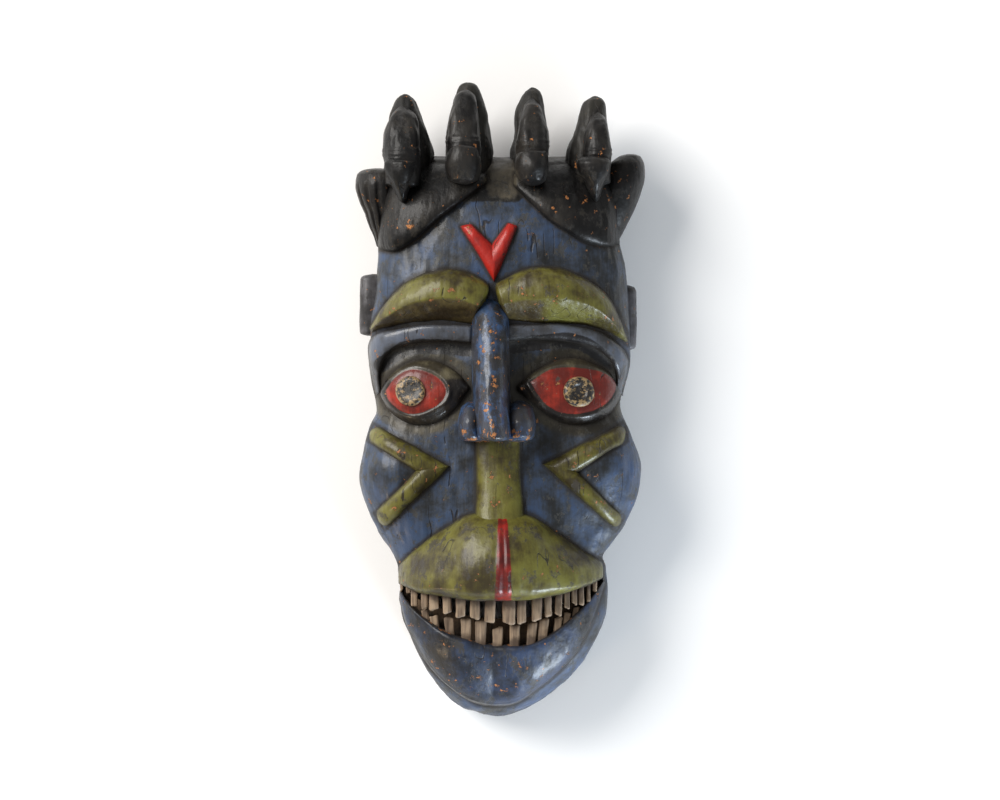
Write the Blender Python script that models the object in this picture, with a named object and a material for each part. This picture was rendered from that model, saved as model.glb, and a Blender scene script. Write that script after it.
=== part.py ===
"""A carved and painted wooden face mask with four horns of hair and pegged teeth, lying on its rim.

Metres, +Z up. The face looks up along +Z, the crown points to +Y and the chin to -Y, and the flat
rim of the hollow back lies on Z = 0. The carving is laid out on a drawing grid of squares, as a
carver squares up a drawing: GRID_SQUARES says how many squares cover the mask's width, height and
depth, and places and swells of the carving are counted in squares. Walls, pegs and fits have sizes
of their own in metres.
"""

import bpy
import bmesh
import numpy as np

# Driving sizes, in metres
MASK_WIDTH = 0.2735
MASK_HEIGHT = 0.600
MASK_DEPTH = 0.172
WALL = 0.018
TOOTH_DEPTH = 0.0075
TOOTH_ROOT = 0.0065
TOOTH_CHAMFER = 0.0012
ROW_GAP = 0.0015
POCKET_ROOM = 0.006
FIT_GAP = 0.0003

# The drawing grid: squares across, up and out, and the size of one square each way
GRID_SQUARES = np.array((273.5, 600.0, 172.0))
SQUARE = np.array((MASK_WIDTH, MASK_HEIGHT, MASK_DEPTH)) / GRID_SQUARES
WALL_SQUARES = WALL / SQUARE

# How finely the curved surfaces are cut into flats
BODY_ROWS = 35
BODY_ARC = 21
HOLLOW_ROWS = 14
HOLLOW_ARC = 11
SPINDLE_SIDES = 8
ROUND_SIDES = 12
DISC_RUN = 9
MOUTH_CUTS = 15
EDGE_STEPS = 60

# The head from chin to crown: (up, across) for its two sides, (up, out) for its front and its edge
CHIN_UP, CROWN_UP = -300.0, 231.0
LEFT_SIDE = (
    (-300, -8), (-297, -22), (-291, -37), (-282, -49), (-268, -62), (-247, -75), (-221, -86),
    (-194, -94), (-158, -96.5), (-123, -115), (-94, -129), (-66, -133.5), (-29, -124), (-9, -116),
    (36, -123.5), (66, -123), (94, -119), (132, -116), (200, -112), (216, -107), (227, -96), (231, -84),
)
RIGHT_SIDE = (
    (-300, 4), (-297, 14), (-289, 31), (-278, 47), (-261, 67), (-245, 80), (-221, 93),
    (-196, 100), (-158, 101), (-148, 98), (-138, 105), (-119, 118), (-92, 130), (-64, 133.2),
    (-33, 124), (-6, 113.5), (43, 123), (112, 119), (150, 114), (200, 110), (216, 106), (227, 97), (231, 86),
)
CREST = (
    (-300, 34), (-290, 52), (-272, 66), (-250, 78), (-220, 90), (-190, 98), (-150, 103),
    (-60, 104), (40, 105), (110, 109), (155, 104), (190, 94), (214, 82), (226, 70), (231, 58),
)
EDGE = ((-300, 26), (-270, 36), (-220, 46), (-170, 52), (-60, 56), (60, 58), (200, 50), (231, 38))
FRONT_POWER = 2.4
RIM_TUCK = 0.965

# The hollow is never narrower than this share of the head, and cutters run past the mask by this
# share of its depth
HOLLOW_LEAST = 0.2
CUT_PAST = 0.1

# Broad swells and hollows of the face: across, up, their reach each way, and how far they stand out
SWELLS = (
    (-110, -66, 34, 34, 16),
    (108, -66, 34, 34, 17),
    (-70, 25, 46, 30, -7),
    (68, 25, 46, 30, -7),
    (0, -130, 60, 45, 8),
    (0, 160, 70, 40, 4),
    (-62, -135, 26, 24, -6),
    (62, -135, 26, 24, -5),
)

# Carved forms that lie on the face. Each has two edges of (across, up) points, low edge first, how
# far it stands out along its run, where its ridge lies across it, and how full its two flanks are.
SUNK = 7.0
LEAVES = {
    "brow_left": {
        "low": ((-122, 64), (-106, 68), (-82, 72), (-58, 73), (-40, 72), (-27, 71)),
        "high": ((-123, 69), (-110, 89), (-88, 111), (-60, 122), (-33, 121), (-11, 107)),
        "rise": ((0, 9), (0.25, 22), (0.6, 27), (1, 20)),
        "ridge": 0.42, "flanks": (1.7, 2.3), "run": 12, "across": 7,
    },
    "brow_right": {
        "low": ((8, 73), (30, 71), (58, 71), (80, 71), (100, 63), (120, 52)),
        "high": ((-4, 109), (24, 123), (56, 123), (85, 111), (106, 92), (122, 58)),
        "rise": ((0, 20), (0.4, 27), (0.75, 22), (1, 8)),
        "ridge": 0.42, "flanks": (1.7, 2.3), "run": 12, "across": 7,
    },
    "lid_left": {
        "low": ((-113, 10), (-114, 30), (-104, 47), (-78, 54), (-52, 55), (-28, 53)),
        "high": ((-116, 6), (-122, 34), (-117, 57), (-82, 67), (-52, 67), (-28, 63)),
        "rise": ((0, 5), (0.3, 11), (0.7, 9), (1, 5)),
        "ridge": 0.5, "flanks": (2, 2), "run": 11, "across": 5,
    },
    "lid_right": {
        "low": ((8, 53), (34, 54), (62, 54), (92, 47), (108, 30), (110, 8)),
        "high": ((8, 66), (34, 68), (62, 68), (98, 58), (119, 36), (114, 4)),
        "rise": ((0, 5), (0.4, 9), (0.7, 11), (1, 5)),
        "ridge": 0.5, "flanks": (2, 2), "run": 11, "across": 5,
    },
    "eye_left": {
        "low": ((-113, 4), (-104, -11), (-84, -23), (-62, -22), (-42, -9), (-28, 9)),
        "high": ((-113, 9), (-104, 24), (-82, 37), (-60, 37), (-42, 28), (-28, 13)),
        "rise": ((0, 7), (0.4, 17), (0.7, 14), (1, 5)),
        "ridge": 0.5, "flanks": (2.2, 2.2), "run": 12, "across": 6,
    },
    "eye_right": {
        "low": ((15, 9), (32, -6), (54, -20), (78, -23.5), (102, -14), (114, 3)),
        "high": ((15, 13), (34, 28), (58, 39), (80, 38), (103, 26), (114, 8)),
        "rise": ((0, 5), (0.3, 14), (0.6, 17), (1, 7)),
        "ridge": 0.5, "flanks": (2.2, 2.2), "run": 12, "across": 6,
    },
    "philtrum": {
        "low": ((-22.5, -32), (-22.5, -70), (-24, -108), (-26, -118)),
        "high": ((19.5, -32), (19.5, -70), (23, -108), (25, -118)),
        "rise": ((0, 13), (0.6, 15), (1, 19)),
        "ridge": 0.5, "flanks": (2.6, 2.6), "run": 7, "across": 6,
    },
    "lip": {
        "low": ((-96, -174), (-76, -181), (-50, -185), (-22, -188), (22, -188), (52, -184), (78, -177),
                (98, -168)),
        "high": ((-96, -155), (-70, -132), (-46, -116), (-24, -105), (22, -105), (53, -123), (77, -140),
                 (98, -152)),
        "rise": ((0, 14), (0.25, 33), (0.5, 42), (0.75, 33), (1, 14)),
        "ridge": 0.16, "flanks": (2.6, 1.8), "run": 17, "across": 8,
    },
    "chin_plate": {
        "low": ((-95, -188), (-88, -214), (-75, -241), (-52, -268), (-24, -286), (8, -289), (38, -272),
                (66, -246), (86, -213), (99, -174)),
        "high": ((-94, -180), (-84, -193), (-65, -208), (-45, -219), (-23, -226), (0, -229), (26, -228),
                 (50, -217), (76, -195), (98, -170)),
        "rise": ((0, 10), (0.2, 20), (0.4, 28), (0.5, 26), (0.6, 28), (0.8, 20), (1, 10)),
        "ridge": 0.66, "flanks": (4.5, 5), "run": 19, "across": 9,
    },
    "lobe_left": {
        "low": ((-12, 205), (-31, 191), (-54, 172), (-77, 152), (-98, 140), (-115, 142)),
        "high": ((-12, 214), (-31, 220), (-54, 224), (-77, 224), (-98, 222), (-113, 214)),
        "rise": ((0, 5), (0.3, 13), (0.8, 15), (1, 9)),
        "ridge": 0.35, "flanks": (3.2, 2.4), "run": 11, "across": 6,
    },
    "lobe_right": {
        "low": ((13, 202), (34, 180), (56, 161), (79, 148), (100, 144), (113, 147)),
        "high": ((13, 214), (34, 220), (56, 224), (79, 224), (98, 222), (112, 214)),
        "rise": ((0, 5), (0.3, 13), (0.8, 15), (1, 9)),
        "ridge": 0.35, "flanks": (3.2, 2.4), "run": 11, "across": 6,
    },
}

# Round carved forms on the face: across, up, radius, and how far they stand out
DISCS = {
    "iris_left": (-84, 8.5, 13, 22),
    "iris_right": (74, 7.5, 13.3, 22),
}
DISC_FLANKS = (5, 5)
DISC_END = 0.03

# Carved bars with straight arms and a sharp bend: their outer and inner edges, counted the same way
BARS = {
    "cheek_mark_left": {
        "low": ((-122, -43), (-77, -66.5), (-118, -106)),
        "high": ((-118, -25), (-46, -63), (-110, -122)),
        "rise": ((0, 5), (0.15, 10), (0.85, 10), (1, 5)), "run": 9, "across": 5,
    },
    "cheek_mark_right": {
        "low": ((116, -43), (71, -68.5), (113, -106)),
        "high": ((112, -22), (38.5, -61), (109, -122)),
        "rise": ((0, 5), (0.15, 10), (0.85, 10), (1, 5)), "run": 9, "across": 5,
    },
    "forehead_mark": {
        "low": ((-26, 162), (-8, 144), (5, 160)),
        "high": ((-34, 160), (-6, 111), (14.5, 160)),
        "rise": ((0, 5), (0.15, 8), (0.5, 7), (0.85, 8), (1, 5)), "run": 9, "across": 5,
    },
}
BAR_FLANKS = (2.2, 2.2)

# Forms that stand free of the face. Each section lies level: (up, across, half width, out, half depth)
SPINDLES = {
    "nose": (
        (95, -10, 5, 102, 9), (90, -10, 13, 104, 16), (78, -9.5, 17.5, 106, 25), (40, -9, 18, 110, 34),
        (0, -8, 17, 113, 46), (-24, -6, 16, 114, 57), (-34, -5, 15, 114, 58), (-38, -4, 13, 114, 53),
    ),
    "nostril_left": (
        (-1, -27, 4, 108, 14), (-8, -27, 9.5, 110, 25), (-22, -28, 12, 112, 32), (-33, -27, 11, 112, 31),
        (-39, -25, 8, 110, 25),
    ),
    "nostril_right": (
        (-1, 18, 6, 108, 14), (-8, 18.5, 12, 110, 26), (-22, 18.5, 15, 112, 34), (-33, 18, 14, 112, 33),
        (-39, 16, 10, 110, 25),
    ),
    "ear_left": (
        (61, -121, 11, 36, 13), (66, -120, 13, 36, 15), (90, -119.5, 14, 36, 16), (114, -120, 13, 36, 15),
        (120, -120, 10, 36, 12),
    ),
    "ear_right": (
        (47, 118, 9, 36, 13), (53, 117.5, 12, 36, 15), (80, 117, 13, 36, 16), (102, 117.5, 12, 36, 15),
        (109, 117, 9, 36, 12),
    ),
    "side_lock_left": (
        (148, -111, 8, 46, 18), (170, -112, 13, 48, 26), (188, -117, 16.5, 50, 30),
        (202, -119, 17.75, 51, 31), (212, -119, 17, 51, 28), (218, -117, 12, 50, 20),
    ),
    "side_lock_right": (
        (150, 108, 7, 46, 18), (172, 110, 12, 48, 26), (192, 115, 16, 50, 30), (212, 120, 16.75, 51, 31),
        (222, 121, 14, 51, 27), (232, 124, 7, 50, 16),
    ),
    "blade_1": (
        (196, -88, 22, 58, 26), (228, -86, 23, 60, 28), (262, -88, 17, 62, 22), (280, -89, 11, 64, 15),
        (288, -89, 5, 66, 7),
    ),
    "finger_1": (
        (200, -92, 16, 88, 20), (226, -92, 17, 90, 22), (248, -92, 16, 88, 19), (266, -92, 12, 84, 14),
        (276, -92, 4, 80, 6),
    ),
    "pendant_1": (
        (185, -91, 2, 96, 10), (200, -92, 8, 98, 16), (216, -92, 15, 99, 20), (226, -92, 16.5, 99, 20),
        (229, -92, 12, 97, 15),
    ),
    "blade_2": (
        (196, -30, 21, 58, 26), (232, -29, 22, 60, 29), (268, -29, 17, 62, 23), (291, -30, 11, 64, 15),
        (300, -30, 6, 66, 8),
    ),
    "finger_2": (
        (204, -34, 14, 90, 22), (240, -34.5, 16.5, 92, 22), (268, -34, 13.5, 88, 17), (284, -33, 9, 84, 12),
        (292, -32, 3, 80, 5),
    ),
    "knob_2": (
        (201, -34, 8, 99, 15), (206, -34, 13.5, 101, 20), (221, -34.3, 17, 103, 23),
        (236, -34.5, 14.5, 102, 20), (241, -34.5, 9, 100, 15),
    ),
    "blade_3": (
        (196, 29, 16, 58, 26), (232, 28.5, 17.5, 60, 28), (262, 29, 15, 62, 22), (287, 30, 10, 64, 14),
        (295, 31, 5, 66, 7),
    ),
    "finger_3": (
        (204, 30, 13, 90, 22), (238, 30.5, 14.5, 92, 22), (262, 30.5, 12, 88, 16), (277, 30.5, 8, 84, 11),
        (284, 30.5, 3, 80, 5),
    ),
    "knob_3": (
        (201, 30, 7, 99, 15), (206, 30, 12, 101, 20), (219, 30, 15.5, 103, 23), (232, 30, 13.5, 102, 20),
        (237, 30, 8, 100, 15),
    ),
    "blade_4": (
        (196, 82, 19, 58, 26), (230, 82.5, 20, 60, 28), (258, 86, 15, 62, 21), (280, 89, 10, 64, 13),
        (288, 89.5, 4.5, 66, 7),
    ),
    "finger_4": (
        (202, 91, 13, 88, 20), (228, 91.5, 13.5, 90, 21), (250, 92, 12, 88, 17), (264, 92, 8.5, 84, 12),
        (272, 92, 3, 80, 5),
    ),
    "pendant_4": (
        (188, 90, 2, 96, 10), (202, 89, 8, 98, 16), (216, 88, 14, 99, 20), (226, 87.5, 16, 99, 20),
        (229, 88, 11, 97, 15),
    ),
}
BLOCKY_FORMS = ("ear", "blade", "knob")
BLOCK_POWER = 2.6
ROUND_FORMS = ("nose", "nostril")

# The open mouth, from its lower corners round to the lip: low edge and high edge of (across, up)
MOUTH_LOW = ((-94, -180), (-84, -194), (-65, -209), (-45, -221), (-23, -228), (0, -232), (26, -230),
             (50, -219), (76, -197), (97, -171))
MOUTH_HIGH = ((-94, -172), (-84, -177), (-65, -181), (-45, -184.5), (-23, -187), (0, -187), (26, -186),
              (50, -183), (76, -176.5), (97, -166.5))
THROAT_SHARE = 0.42
THROAT_SIDES = (0.15, 0.85)
TOOTH_OUT_SHARE = 0.3

# The pegs: (across, width, how far the tip reaches up) in squares
UPPER_PEGS = (
    (-93, 3, -180), (-86.5, 4.5, -182), (-80.5, 6.4, -194), (-70.7, 6.6, -196), (-62, 9.2, -197),
    (-49.8, 8.4, -200), (-36.6, 9.2, -203.5), (-23.5, 9.2, -205), (-9.2, 9.8, -208.5),
    (8.2, 12.4, -209.5), (20.2, 8.6, -209.5), (34.4, 9.4, -206.8), (44.8, 6.6, -203), (55, 6.6, -202),
    (62.6, 5.4, -195.5), (69.4, 5.4, -191.5), (76, 5.4, -192.5), (83, 3.6, -190), (89, 4.2, -181),
)
LOWER_PEGS = (
    (-69, 6.4, -196.5), (-60.5, 8.4, -202.5), (-47, 9.2, -204), (-31.3, 10, -204.5), (-18, 10.4, -206),
    (-2.4, 10, -213), (13.6, 10, -210), (29, 9.2, -208), (39.8, 9.4, -205), (53.6, 7.4, -204),
    (61.8, 6.6, -199.5), (69.5, 5.8, -194.5),
)
PEG_TAPER = 0.92
CHAMFER_SHARE = 0.6


def clear_scene():
    """Remove whatever the scene holds."""
    for item in list(bpy.data.objects):
        bpy.data.objects.remove(item, do_unlink=True)


def smooth(at, knots):
    """Read a smooth curve through (place, value) knots: cubic pieces that never overshoot a knot."""
    place, value = np.array(knots, float).T
    span = np.diff(place)
    rise = np.diff(value) / span
    before, after = rise[:-1], rise[1:]
    turning = before * after <= 0
    mean = 2 * before * after / np.where(turning, 1, before + after)
    slope = np.concatenate((rise[:1], np.where(turning, 0, mean), rise[-1:]))
    at = np.clip(at, place[0], place[-1])
    i = np.clip(np.searchsorted(place, at, side="right") - 1, 0, len(span) - 1)
    t = (at - place[i]) / span[i]
    return (
        value[i] * (1 + 2 * t) * (1 - t) ** 2
        + value[i + 1] * t * t * (3 - 2 * t)
        + span[i] * (slope[i] * t * (1 - t) ** 2 - slope[i + 1] * t * t * (1 - t))
    )


def trail(points, share, straight=False):
    """Walk along (across, up) points, share 0 to 1, on straight runs or on a curve through them."""
    points = np.array(points, float)
    last = len(points) - 1
    at = np.asarray(share, float) * last
    i = np.clip(at.astype(int), 0, last - 1)
    t = (at - i)[:, None]
    if straight:
        return points[i] * (1 - t) + points[i + 1] * t
    slope = np.gradient(points, axis=0)
    return (
        points[i] * (1 + 2 * t) * (1 - t) ** 2
        + points[i + 1] * t * t * (3 - 2 * t)
        + slope[i] * t * (1 - t) ** 2
        - slope[i + 1] * t * t * (1 - t)
    )


def across_share(across, up):
    """How far a place lies between the head's middle, 0, and its side, 1, with its sign."""
    left = smooth(up, LEFT_SIDE)
    right = smooth(up, RIGHT_SIDE)
    return np.clip((across - (left + right) / 2) / ((right - left) / 2), -1, 1)


def front(across, up):
    """How far out the plain front of the head stands at a place, with its broad swells."""
    fall = (1 - np.abs(across_share(across, up)) ** FRONT_POWER) ** (1 / FRONT_POWER)
    edge = smooth(up, EDGE)
    out = edge + (smooth(up, CREST) - edge) * fall
    for middle_across, middle_up, reach_across, reach_up, rise in SWELLS:
        distance = ((across - middle_across) / reach_across) ** 2 + ((up - middle_up) / reach_up) ** 2
        out = out + rise * np.exp(-distance) * np.sqrt(fall)
    return out


def dome(share, ridge, flanks):
    """Height across a carved form, 0 at both edges and 1 on its ridge; full flanks have high powers."""
    low = (1 - np.clip((ridge - share) / ridge, 0, 1) ** flanks[0]) ** (1 / flanks[0])
    high = (1 - np.clip((share - ridge) / (1 - ridge), 0, 1) ** flanks[1]) ** (1 / flanks[1])
    return np.where(share < ridge, low, high)


def leaf_rings(form, straight=False, flanks=None):
    """Sections of a form on the face: its carved top from the low edge to the high one, then its bed."""
    run = np.linspace(0, 1, form["run"])
    low = trail(form["low"], run, straight)
    high = trail(form["high"], run, straight)
    share = (1 - np.cos(np.pi * np.linspace(0, 1, form["across"]))) / 2
    place = low[:, None] * (1 - share)[:, None] + high[:, None] * share[:, None]
    lift = dome(share, form.get("ridge", 0.5), flanks or form["flanks"])
    base = front(place[..., 0], place[..., 1])
    out = base + smooth(run, form["rise"])[:, None] * lift
    top = np.dstack((place, out))
    bed = np.dstack((place, base - SUNK))[:, [-1, 0]]
    return np.concatenate((top, bed), axis=1)


def disc_form(across, up, radius, rise):
    """A round form as two edges: the lower and the upper half of a circle, blunt at its two ends."""
    angle = np.pi * np.linspace(1 - DISC_END, DISC_END, DISC_RUN)
    over = radius * np.cos(angle)
    reach = radius * np.sin(angle)
    return {
        "low": np.column_stack((across + over, up - reach)),
        "high": np.column_stack((across + over, up + reach)),
        "rise": ((0, rise), (1, rise)), "run": DISC_RUN, "across": 5,
    }


def round_section(sides, power):
    """Points round a level section of half width and half depth 1, squarer as the power rises."""
    angle = np.linspace(0, 2 * np.pi, sides, endpoint=False)
    cosine, sine = np.cos(angle), np.sin(angle)
    return (
        np.sign(cosine) * np.abs(cosine) ** (2 / power),
        np.sign(sine) * np.abs(sine) ** (2 / power),
    )


def spindle_rings(sections, sides, power):
    """Level sections of a free-standing form, one after another up the mask."""
    wide, deep = round_section(sides, power)
    rings = []
    for up, across, half_width, out, half_depth in sections:
        ups = np.full(sides, float(up))
        rings.append(np.column_stack((across + half_width * wide, ups, out + half_depth * deep)))
    return np.array(rings)


def body_rings(rows, arc, inset, floor):
    """Sections of the head from chin to crown: side wall, front and side wall, all moved in by inset."""
    along = np.linspace(0, 1, rows)
    along = (along + (1 - np.cos(np.pi * along)) / 2) / 2
    ups = CHIN_UP + inset[1] + (CROWN_UP - CHIN_UP - 2 * inset[1]) * along
    angle = np.linspace(-np.pi / 2, np.pi / 2, arc)
    wide = np.sign(angle) * np.abs(np.sin(angle)) ** (2 / FRONT_POWER)
    rings = []
    for up in ups:
        left, right = smooth(up, LEFT_SIDE), smooth(up, RIGHT_SIDE)
        middle, half = (left + right) / 2, (right - left) / 2
        across = middle + half * wide
        out = front(across, np.full(arc, up)) - inset[2]
        across = middle + np.maximum(half - inset[0], half * HOLLOW_LEAST) * wide
        foot = middle + (across[[0, -1]] - middle) * RIM_TUCK
        ring = np.column_stack((across, np.full(arc, up), out))
        rings.append(np.vstack(((foot[0], up, floor), ring, (foot[1], up, floor))))
    return np.array(rings)


def solid(name, rings, size=SQUARE):
    """Skin closed sections into one solid with a flat face at each end, faces pointing out."""
    count, around, _ = rings.shape
    mesh = bmesh.new()
    rows = [[mesh.verts.new(point * size) for point in ring] for ring in rings]
    for row, following in zip(rows, rows[1:]):
        for i in range(around):
            j = (i + 1) % around
            mesh.faces.new((row[i], row[j], following[j], following[i]))
    mesh.faces.new(rows[0][::-1])
    mesh.faces.new(rows[-1])
    if mesh.calc_volume(signed=True) < 0:
        bmesh.ops.reverse_faces(mesh, faces=mesh.faces)
    data = bpy.data.meshes.new(name)
    mesh.to_mesh(data)
    mesh.free()
    return bpy.data.objects.new(name, data)


def material(name, colour, roughness):
    """A plain painted or bare wood finish."""
    made = bpy.data.materials.new(name)
    made.use_nodes = True
    shader = made.node_tree.nodes["Principled BSDF"]
    shader.inputs["Base Color"].default_value = (*colour, 1)
    shader.inputs["Roughness"].default_value = roughness
    shader.inputs["Metallic"].default_value = 0
    return made


def guide(item, group):
    """Keep a solid as a cutter or a carved form that only the body's joins use."""
    item.hide_render = True
    item.display_type = "WIRE"
    group.objects.link(item)


def peg_middle_out(across):
    """How far out the middle of an upper peg stands: a share of the lip's rise behind its front."""
    lip = LEAVES["lip"]
    run = np.linspace(0, 1, EDGE_STEPS)
    edge = trail(lip["low"], run)
    rise = np.interp(across, edge[:, 0], smooth(run, lip["rise"]))
    up = np.interp(across, edge[:, 0], edge[:, 1])
    return front(across, up) + TOOTH_OUT_SHARE * rise


def edge_up(points, across):
    """How far up an edge of the mouth lies at a place across it."""
    edge = trail(points, np.linspace(0, 1, EDGE_STEPS))
    return np.interp(across, edge[:, 0], edge[:, 1])


def lower_peg_out(across):
    """How far out the middle of a lower peg stands: one peg's depth and a gap behind the upper row."""
    return peg_middle_out(across) - (TOOTH_DEPTH + ROW_GAP) / SQUARE[2]


def peg_section(half_width, chamfer):
    """Corners of a peg's section: a rectangle, with its corners cut off where there is a chamfer."""
    half = np.array((half_width * SQUARE[0], TOOTH_DEPTH / 2))
    if not chamfer:
        return half * ((1, 1), (-1, 1), (-1, -1), (1, -1))
    cut = min(chamfer, half.min() * CHAMFER_SHARE)
    wide = np.array((half[0], half[0] - cut, cut - half[0], -half[0]))
    deep = np.array((half[1] - cut, half[1], half[1], half[1] - cut))
    return np.vstack((np.column_stack((wide, deep)), np.column_stack((wide[::-1], -deep[::-1]))))


def peg_rings(root, tip, half_width, chamfer, grow):
    """Two sections of a tapering peg, at its root and its tip, or of its socket, grown by the gap."""
    section = peg_section(half_width, chamfer)
    run = np.sign(tip[1] - root[1]) * grow
    rings = []
    for end, shrink, reach in ((root, 1, -run), (tip, PEG_TAPER, run)):
        centre = np.array(end) * SQUARE
        corners = section * shrink + np.sign(section) * grow
        ups = np.full(len(section), centre[1] + reach)
        rings.append(np.column_stack((centre[0] + corners[:, 0], ups, centre[2] + corners[:, 1])))
    return np.array(rings)


def peg_ends():
    """Name, root, tip and half width of every peg, in squares."""
    root_squares = TOOTH_ROOT / SQUARE[1]
    pegs = []
    for number, (across, width, tip_up) in enumerate(UPPER_PEGS, 1):
        out = peg_middle_out(across)
        root = (across, edge_up(MOUTH_HIGH, across) + root_squares, out)
        tip = (across, tip_up, out)
        pegs.append((f"tooth_upper_{number:02d}", root, tip, width / 2))
    for number, (across, width, tip_up) in enumerate(LOWER_PEGS, 1):
        out = lower_peg_out(across)
        root = (across, edge_up(MOUTH_LOW, across) - root_squares, out)
        tip = (across, tip_up, out)
        pegs.append((f"tooth_lower_{number:02d}", root, tip, width / 2))
    return pegs


def mouth_cutter(name, sides, share, behind):
    """The mouth's opening from the lip down to a share of its height, cut to a depth behind the pegs."""
    run = np.linspace(*sides, MOUTH_CUTS)
    high = trail(MOUTH_HIGH, run)
    low = high + (trail(MOUTH_LOW, run) - high) * share
    floor = np.array([lower_peg_out(a) for a in low[:, 0]]) - behind
    lid = np.full(len(run), GRID_SQUARES[2] * (1 + CUT_PAST))
    rings = []
    for i in range(len(run)):
        rings.append((
            (*low[i], floor[i]), (*high[i], floor[i]), (*high[i], lid[i]), (*low[i], lid[i]),
        ))
    return solid(name, np.array(rings))


def build():
    """Make the body, its carved forms, the hollow, the mouth and the pegs."""
    clear_scene()
    shown = bpy.context.scene.collection
    carved = bpy.data.collections.new("carved_forms")
    hollows = bpy.data.collections.new("hollows")
    shown.children.link(carved)
    shown.children.link(hollows)

    for name, form in LEAVES.items():
        guide(solid(name, leaf_rings(form)), carved)
    for name, form in BARS.items():
        guide(solid(name, leaf_rings(form, straight=True, flanks=BAR_FLANKS)), carved)
    for name, place in DISCS.items():
        guide(solid(name, leaf_rings(disc_form(*place), flanks=DISC_FLANKS)), carved)
    for name, sections in SPINDLES.items():
        power = BLOCK_POWER if name.startswith(BLOCKY_FORMS) else 2
        sides = ROUND_SIDES if name.startswith(ROUND_FORMS) else SPINDLE_SIDES
        guide(solid(name, spindle_rings(sections, sides, power)), carved)

    below = -GRID_SQUARES[2] * CUT_PAST
    guide(solid("back_hollow", body_rings(HOLLOW_ROWS, HOLLOW_ARC, WALL_SQUARES, below)), hollows)
    pocket = (TOOTH_DEPTH / 2 + POCKET_ROOM) / SQUARE[2]
    guide(mouth_cutter("mouth_pocket", (0, 1), 1, pocket), hollows)
    guide(mouth_cutter("mouth_throat", THROAT_SIDES, THROAT_SHARE, GRID_SQUARES[2]), hollows)

    tooth_wood = material("tooth_wood", (0.30, 0.21, 0.14), 0.6)
    for name, root, tip, half_width in peg_ends():
        peg = solid(name, peg_rings(root, tip, half_width, TOOTH_CHAMFER, 0), size=1)
        peg.data.materials.append(tooth_wood)
        shown.objects.link(peg)
        guide(solid(f"{name}_socket", peg_rings(root, tip, half_width, 0, FIT_GAP), size=1), hollows)

    body = solid("mask_body", body_rings(BODY_ROWS, BODY_ARC, np.zeros(3), 0))
    body.data.materials.append(material("painted_wood", (0.08, 0.11, 0.22), 0.4))
    shown.objects.link(body)
    for name, group, operation in (("carve", carved, "UNION"), ("hollow", hollows, "DIFFERENCE")):
        cut = body.modifiers.new(name, "BOOLEAN")
        cut.operand_type = "COLLECTION"
        cut.collection = group
        cut.operation = operation
        cut.solver = "EXACT"


build()
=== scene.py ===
"""Dresses the carved and painted wooden mask: its carving, paint, wear, pegs and hollow back.

The head and every carved form on it are surfaces worked out on the carver's drawing grid, whose
squares are measured from the frame, so each one lies where the frame's solids lie.
"""

import logging
from dataclasses import dataclass, field
from enum import Enum
from typing import Any, Callable, Sequence

import bpy
import numpy as np
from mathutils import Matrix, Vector

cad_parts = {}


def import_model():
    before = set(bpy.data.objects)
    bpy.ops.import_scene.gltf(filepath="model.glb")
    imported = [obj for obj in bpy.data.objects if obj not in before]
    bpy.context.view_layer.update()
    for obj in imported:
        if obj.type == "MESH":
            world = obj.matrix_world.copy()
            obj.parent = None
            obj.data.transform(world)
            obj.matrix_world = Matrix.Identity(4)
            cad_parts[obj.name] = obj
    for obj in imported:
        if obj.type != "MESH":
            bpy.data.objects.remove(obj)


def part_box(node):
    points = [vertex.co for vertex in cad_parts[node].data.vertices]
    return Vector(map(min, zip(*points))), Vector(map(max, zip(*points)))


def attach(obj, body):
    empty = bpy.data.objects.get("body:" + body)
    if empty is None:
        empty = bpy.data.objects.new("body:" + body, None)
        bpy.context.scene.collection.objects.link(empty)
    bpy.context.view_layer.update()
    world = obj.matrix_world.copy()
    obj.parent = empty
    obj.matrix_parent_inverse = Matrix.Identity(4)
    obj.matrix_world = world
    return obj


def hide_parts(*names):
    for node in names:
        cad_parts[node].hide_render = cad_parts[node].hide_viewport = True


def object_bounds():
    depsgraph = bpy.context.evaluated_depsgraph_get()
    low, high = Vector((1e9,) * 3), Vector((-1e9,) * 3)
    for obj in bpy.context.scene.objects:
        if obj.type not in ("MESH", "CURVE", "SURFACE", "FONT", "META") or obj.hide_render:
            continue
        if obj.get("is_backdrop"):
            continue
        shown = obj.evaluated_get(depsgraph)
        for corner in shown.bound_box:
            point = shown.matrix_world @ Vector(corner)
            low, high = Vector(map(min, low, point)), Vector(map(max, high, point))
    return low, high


LOG = logging.getLogger("mask")
Array = np.ndarray
Knots = Sequence[tuple[float, float]]

BODY = "root"
MASK_NODE = "mask_body"
PAINT_SLOT = "painted_wood"
TOOTH_SLOT = "tooth_wood"

# The drawing grid: squares across, up and out
GRID_SQUARES = np.array((273.5, 600.0, 172.0))

# Walls, pegs and fits, in metres
WALL = 0.018
TOOTH_DEPTH = 0.0075
ROW_GAP = 0.0015
POCKET_ROOM = 0.006


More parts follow.
